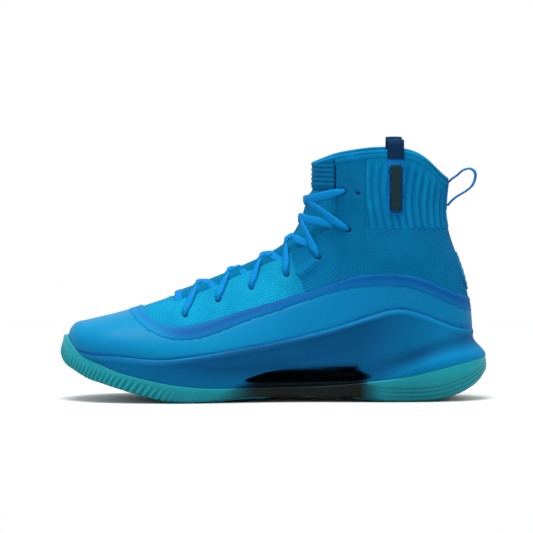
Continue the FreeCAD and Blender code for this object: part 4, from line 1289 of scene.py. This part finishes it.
def ridge_point(x, z):
    """Point of the ridge nearest to a place in side view, and the outward normal."""
    near = np.abs(lookup_a) < 0.08
    k = np.argmin(np.hypot(lookup_p[near][:, 0] - x, lookup_p[near][:, 2] - z))
    p = lookup_p[near][k]
    _, normal = skin_frame(lookup_u[near][k:k + 1], np.array([0.0]), KNIT_DEPTH)
    return p, normal[0]


LACE_LIFT = 1.5               # millimetres from the knit's outer face to the middle of the lace
LACE_POINTS = 90


def path_frame(path, facing):
    """Directions along a path and across it, for a tape that faces a way."""
    along = unit(np.gradient(path, axis=0))
    return along, unit(np.cross(along, facing))


def lace_run(name, k, side, over_lift):
    """One visible length of lace: out of eyelet k on its own side, over the ridge, under the far throat edge."""
    ex, ez = EYELETS[k - 1]
    rx, rz = RIDGE[k]
    last = k == len(RIDGE) - 1
    tx, tz = EYELETS[k] if last else THROAT_EDGE[k]
    spots, normals = [], []

    def add(x, z, s, lift):
        p, n = surface_point(x, z, s, lift)
        spots.append(p)
        normals.append(n)

    add(ex, ez, side, -2.2)
    add(ex + 0.10 * (rx - ex), ez + 0.10 * (rz - ez), side, 0.9)
    for t in (0.3, 0.55, 0.8):
        add(ex + t * (rx - ex), ez + t * (rz - ez), side, LACE_LIFT + 0.5 * over_lift * t)
    p, n = ridge_point(rx, rz)
    spots.append(p + n * (LACE_LIFT + 0.3 + over_lift))
    normals.append(n)
    for t in (0.3, 0.65) if not last else (0.25, 0.5, 0.78):
        add(rx + t * (tx - rx), rz + t * (tz - rz), -side, LACE_LIFT + 0.6 * over_lift * (1 - t))
    if last:
        add(rx + 0.93 * (tx - rx), rz + 0.93 * (tz - rz), -side, 0.9)
        add(tx, tz, -side, -2.2)
    else:
        add(tx, tz, -side, 0.2)
        step = np.array([tx - rx, tz - rz])
        step = step / np.linalg.norm(step) * 3.4
        add(tx + step[0], tz + step[1], -side, -2.4)
    path = open_curve(spots, 10)
    facing = open_curve(normals, 10)
    path, facing = resample(path, LACE_POINTS), resample(facing, LACE_POINTS)
    along, across = path_frame(path, unit(facing))
    up = np.cross(across, along)
    run = np.linspace(0, 1, LACE_POINTS)
    far_end = soft_step(1 - run, 0.0, 0.14) if last else np.ones(LACE_POINTS)
    pinch = 0.52 + 0.48 * np.minimum(soft_step(run, 0.0, 0.16), far_end)
    wide = 5.6 if k < 5 else 6.2
    thick = 2.4 + 0.9 * (1 - pinch) * 2
    # a lace turns a little as it is pulled over the ridge
    twist = 0.30 * np.sin(np.pi * run) * (1 if side > 0 else -1)
    side_v = across * np.cos(twist)[:, None] + up * np.sin(twist)[:, None]
    up_v = np.cross(along, side_v)
    return sweep(name, path, side_v, up_v, wide * pinch, thick, False, sections=16)


def make_lace():
    for name, side, lift, node in (("medial", 1, 0.0, "lace_medial_strand"),
                                   ("lateral", -1, 1.6, "lace_lateral_strand")):
        for k in range(1, len(RIDGE)):
            obj = lace_run(f"lace_{name}_{k}", k, side, lift)
            dress(obj, LACE, "lace", "shoe", replaces=(node,) if k == 1 else ())
    spots, normals = [], []
    for s, t in ((1, 1.35), (1, 1.0), (1, 0.45)):
        x = RIDGE[0][0] + t * (THROAT_EDGE[0][0] - RIDGE[0][0])
        z = RIDGE[0][1] + t * (THROAT_EDGE[0][1] - RIDGE[0][1])
        p, n = surface_point(x, z, s, LACE_LIFT if t < 0.9 else (0.6 if t < 1.2 else -2.0))
        spots.append(p)
        normals.append(n)
    p, n = ridge_point(*RIDGE[0])
    mirrored = [(q * [1, -1, 1], m * [1, -1, 1]) for q, m in zip(spots, normals)][::-1]
    path = open_curve(spots + [p + n * LACE_LIFT] + [q for q, _ in mirrored], 10)
    facing = open_curve(normals + [n] + [m for _, m in mirrored], 10)
    path, facing = resample(path, 60), resample(facing, 60)
    along, across = path_frame(path, facing)
    obj = sweep("lace_toe_bar", path, across, np.cross(across, along), 6.2, 2.4, False, sections=16)
    dress(obj, LACE, "lace", "shoe", replaces=("lace_toe_bar",))


# ---- loops, tabs and badge -----------------------------------------------------------------------
HEEL_LOOP = [(-122.6, 152.6), (-125.8, 155.6), (-129.3, 158.0), (-133.5, 161.6), (-138.4, 162.8), (-141.8, 160.6),
             (-142.3, 156.4), (-140.2, 151.0), (-135.8, 147.0), (-129.8, 143.4), (-126.0, 140.4), (-122.8, 136.8)]
TAB_X, TAB_WIDTH, TAB_Y, TAB_RADIUS, TAB_TOP = -85.3, 12.0, 31.8, 4.0, 184.6


def ribbon(name, path, width, thick, across, sections=14):
    """Flat tape along a path, lying across a fixed direction."""
    path = np.asarray(path, float)
    along = unit(np.gradient(path, axis=0))
    across = np.tile(np.asarray(across, float), (len(path), 1))
    up = np.cross(along, across)
    return sweep(name, path, across, up, width, thick, False, sections=sections)


def make_heel_loop():
    path = open_curve([(x, 0.0, z) for x, z in HEEL_LOOP], 8)
    path = resample(path, 110)
    obj = ribbon("heel_tape_loop", path, 9.6, 1.5, (0.16, 0.987, 0))
    obj.data.materials.append(TAPE)
    obj.data.attributes.new("tone", "FLOAT", "POINT")
    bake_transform(obj)
    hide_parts("heel_pull_loop")
    strip = patch_of(225.0, U_END, 0.8, 0.8, lambda x, y, z: 5.0 - np.abs(y), lambda x, y, z: -112.0 - x,
                     lambda x, y, z: z - 133.5, lambda x, y, z: 154.0 - z)
    obj = cloth("heel_loop_end", strip, -0.25, 1.2, None, edge=0.7)
    dress(obj, TAPE, "tape", "shoe", replaces=("heel_loop_anchor",))


def stitch_line(name, spots, normals, length=2.0, gap=1.1, gauge=0.55, slant=0.0):
    """Row of separate thread stitches along a path on a surface, in one mesh."""
    spots, normals = np.asarray(spots, float), np.asarray(normals, float)
    run = np.concatenate([[0], np.cumsum(np.linalg.norm(np.diff(spots, axis=0), axis=1))])
    points, faces = [], []
    at = 0.3
    while at + length < run[-1]:
        ends = []
        for s in (at, at + length / 2, at + length):
            p = np.array([np.interp(s, run, spots[:, k]) for k in range(3)])
            n = np.array([np.interp(s, run, normals[:, k]) for k in range(3)])
            ends.append((p, n / np.linalg.norm(n)))
        p0, n1, p2 = ends[0][0], ends[1][1], ends[2][0]
        along = (p2 - p0) / max(np.linalg.norm(p2 - p0), 1e-6)
        across = np.cross(n1, along)
        base = len(points)
        shift = across * slant
        rings = 7
        for i in range(rings):
            t = i / (rings - 1)
            centre = p0 + (p2 - p0) * t + shift * (2 * t - 1) + n1 * (0.42 * math.sin(math.pi * t) - 0.08)
            r = gauge / 2 * (0.35 + 0.65 * math.sin(math.pi * min(max(t, 0.02), 0.98)) ** 0.5)
            for j in range(8):
                g = 2 * math.pi * j / 8
                points.append(centre + across * r * math.cos(g) + n1 * r * math.sin(g))
        for i in range(rings - 1):
            for j in range(8):
                q = (j + 1) % 8
                faces.append([base + i * 8 + j, base + i * 8 + q, base + (i + 1) * 8 + q, base + (i + 1) * 8 + j])
        faces.append([base + j for j in range(8)][::-1])
        faces.append([base + (rings - 1) * 8 + j for j in range(8)])
        at += length + gap
    if not outward(points, faces):
        faces = [f[::-1] for f in faces]
    return make_mesh(name, np.array(points), faces, np.zeros((len(points), 2)))


def make_tabs():
    left, right = TAB_X - TAB_WIDTH / 2, TAB_X + TAB_WIDTH / 2
    for name, side in (("medial", 1), ("lateral", -1)):
        top = TAB_TOP - TAB_RADIUS
        bend = [(TAB_X, side * (TAB_Y + (TAB_RADIUS - 0.6) * math.cos(g)), top + (TAB_RADIUS - 0.6) * math.sin(g))
                for g in np.linspace(0, math.pi, 12)]
        outer_leg = [(TAB_X, side * (TAB_Y + 2.6), 170.5), (TAB_X, side * (TAB_Y + 2.9), 174.0),
                     (TAB_X, side * (TAB_Y + 3.3), 178.0)]
        inner_leg = [(TAB_X, side * (TAB_Y - 3.3), 178.0), (TAB_X, side * (TAB_Y - 3.2), 174.0),
                     (TAB_X, side * (TAB_Y - 2.9), 168.5)]
        path = resample(open_curve(outer_leg + bend + inner_leg, 5), 90)
        obj = ribbon(f"{name}_tab_fold", path, TAB_WIDTH - 0.3, 1.15, (1, 0, 0))
        obj.data.materials.append(DARK_TAPE)
        obj.data.attributes.new("tone", "FLOAT", "POINT")
        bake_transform(obj)
        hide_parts(f"{name}_pull_tab")

        def on_side(x, y, z, s=side):
            return s * y - 5.0

        def box(low_x, low_z, high_x, high_z):
            return lambda x, y, z: np.min([x - low_x, high_x - x, z - low_z, high_z - z], axis=0)

        tape = patch_of(240.0, U_END, 0.7, 0.7, box(left, 131.5, right, 174.5), on_side)
        obj = cloth(f"{name}_sewn_tape", tape, -0.2, 1.2, None, edge=0.6)
        dress(obj, TAPE, "tape", "shoe", replaces=(f"{name}_tab_tape",))
        label = patch_of(240.0, U_END, 0.45, 0.45, box(left + 2.5, 134.5, right - 2.5, 166.5), on_side)

        def bars(x, y, z, u, a, edge):
            return 0.2 * np.abs(np.cos(np.pi * (z - 134.5 + 0.7 * np.abs(x - TAB_X)) / 4.2))

        obj = cloth(f"{name}_label", label, -0.95, 1.1, bars, edge=0.4)
        dress(obj, LABEL, "label", "shoe", replaces=(f"{name}_tab_label",))
        for row, dx in (("front", 4.1), ("rear", -4.1)):
            spots, normals = [], []
            for k, z in enumerate(np.arange(134.5, 167.5, 1.6)):
                p, n = surface_point(TAB_X + dx + (0.75 if k % 2 else -0.75), z, side, 1.6)
                spots.append(p)
                normals.append(n)
            obj = stitch_line(f"{name}_label_zigzag_{row}", spots, normals, length=1.8, gap=0.25, gauge=0.85)
            dress(obj, THREAD, "tape", "shoe")
        spots, normals = [], []
        for x in np.arange(TAB_X - 4.4, TAB_X + 4.5, 0.8):
            p, n = surface_point(x, 133.4, side, 1.6)
            spots.append(p)
            normals.append(n)
        obj = stitch_line(f"{name}_label_bar_tack", spots, normals, length=1.2, gap=0.1, gauge=0.9, slant=0.4)
        dress(obj, THREAD, "tape", "shoe")


def make_badge():
    oval = smooth_closed([(10 * math.cos(g), 91 + 13.5 * math.sin(g)) for g in np.arange(16) * math.pi / 8], 4)
    patch = patch_of(150.0, U_END, 0.7, 0.7, lambda x, y, z: inside_polygon(oval, y, z), lambda x, y, z: -110.0 - x)

    def relief(x, y, z, u, a, edge):
        return 0.45 * np.exp(-((edge - 1.0) / 0.7) ** 2) + 0.3 * np.abs(np.cos(np.pi * (z - 91) / 4.5)) \
            * soft_step(edge, 2.2, 3.0)

    obj = cloth("heel_oval", patch, -0.1, 1.1, relief, edge=0.8)
    dress(obj, BADGE, "badge", "shoe", replaces=("heel_badge",))


# ---- stage, light and camera ---------------------------------------------------------------------
CAMERA_FAR, CAMERA_RISE = 4.0, 3.0
VIEW_WIDTH = 377.1            # millimetres across the frame
AIM = (5.3, 0.0, 93.5)


def make_stage():
    scene = bpy.context.scene
    scene.view_settings.view_transform = "Standard"
    mesh = bpy.data.meshes.new("floor")
    wide = 0.85
    mesh.from_pydata([(-wide, -wide, 0), (wide, -wide, 0), (wide, wide, 0), (-wide, wide, 0)], [], [(0, 1, 2, 3)])
    floor = bpy.data.objects.new("floor", mesh)
    scene.collection.objects.link(floor)
    m = Maker("mat_floor", rough=0.6, Specular_IOR_Level=0.2)
    m.color(m.mix(m.noise(2.0), srgb("dfe1e2"), srgb("e6e7e8")))
    mesh.materials.append(m.mat)

    world = bpy.data.worlds.new("studio")
    scene.world = world
    world.use_nodes = True
    back = world.node_tree.nodes["Background"]
    back.inputs[0].default_value, back.inputs[1].default_value = (1, 1, 1, 1), 1.0

    def area(name, place, aim, size, power):
        light = bpy.data.lights.new(name, "AREA")
        light.shape, light.size, light.size_y, light.energy = "RECTANGLE", size[0], size[1], power
        obj = bpy.data.objects.new(name, light)
        obj.location = place
        obj.rotation_euler = (Vector(aim) - Vector(place)).to_track_quat("-Z", "Y").to_euler()
        scene.collection.objects.link(obj)

    area("top_softbox", (0.12, 0.30, 1.5), (0, 0, 0.05), (1.0, 0.8), 34.0)
    area("front_left", (1.3, 1.4, 0.9), (0.02, 0, 0.06), (0.8, 0.8), 4.0)
    area("back_right", (-1.3, 0.9, 0.9), (-0.02, 0, 0.08), (0.8, 0.8), 3.5)

    camera = bpy.data.cameras.new("camera")
    camera.sensor_width, camera.lens = 36.0, 36.0 * CAMERA_FAR / (VIEW_WIDTH * MM)
    camera.clip_end = 30.0
    obj = bpy.data.objects.new("camera", camera)
    rise = math.radians(CAMERA_RISE)
    aim = Vector(AIM) * MM
    obj.location = aim + Vector((0, math.cos(rise), math.sin(rise))) * CAMERA_FAR
    obj.rotation_euler = (aim - obj.location).to_track_quat("-Z", "Y").to_euler()
    scene.collection.objects.link(obj)
    scene.camera = obj


make_stage()
make_midsole()
make_outsole_wall()
make_outsole_bottom()
make_shank()
make_footbed()
make_film()
make_band()
make_forefoot_knit()
make_ankle_knit()
make_collar()
make_gusset()
make_rim()
make_lining()
make_padding()
make_lace()
make_heel_loop()
make_tabs()
make_badge()
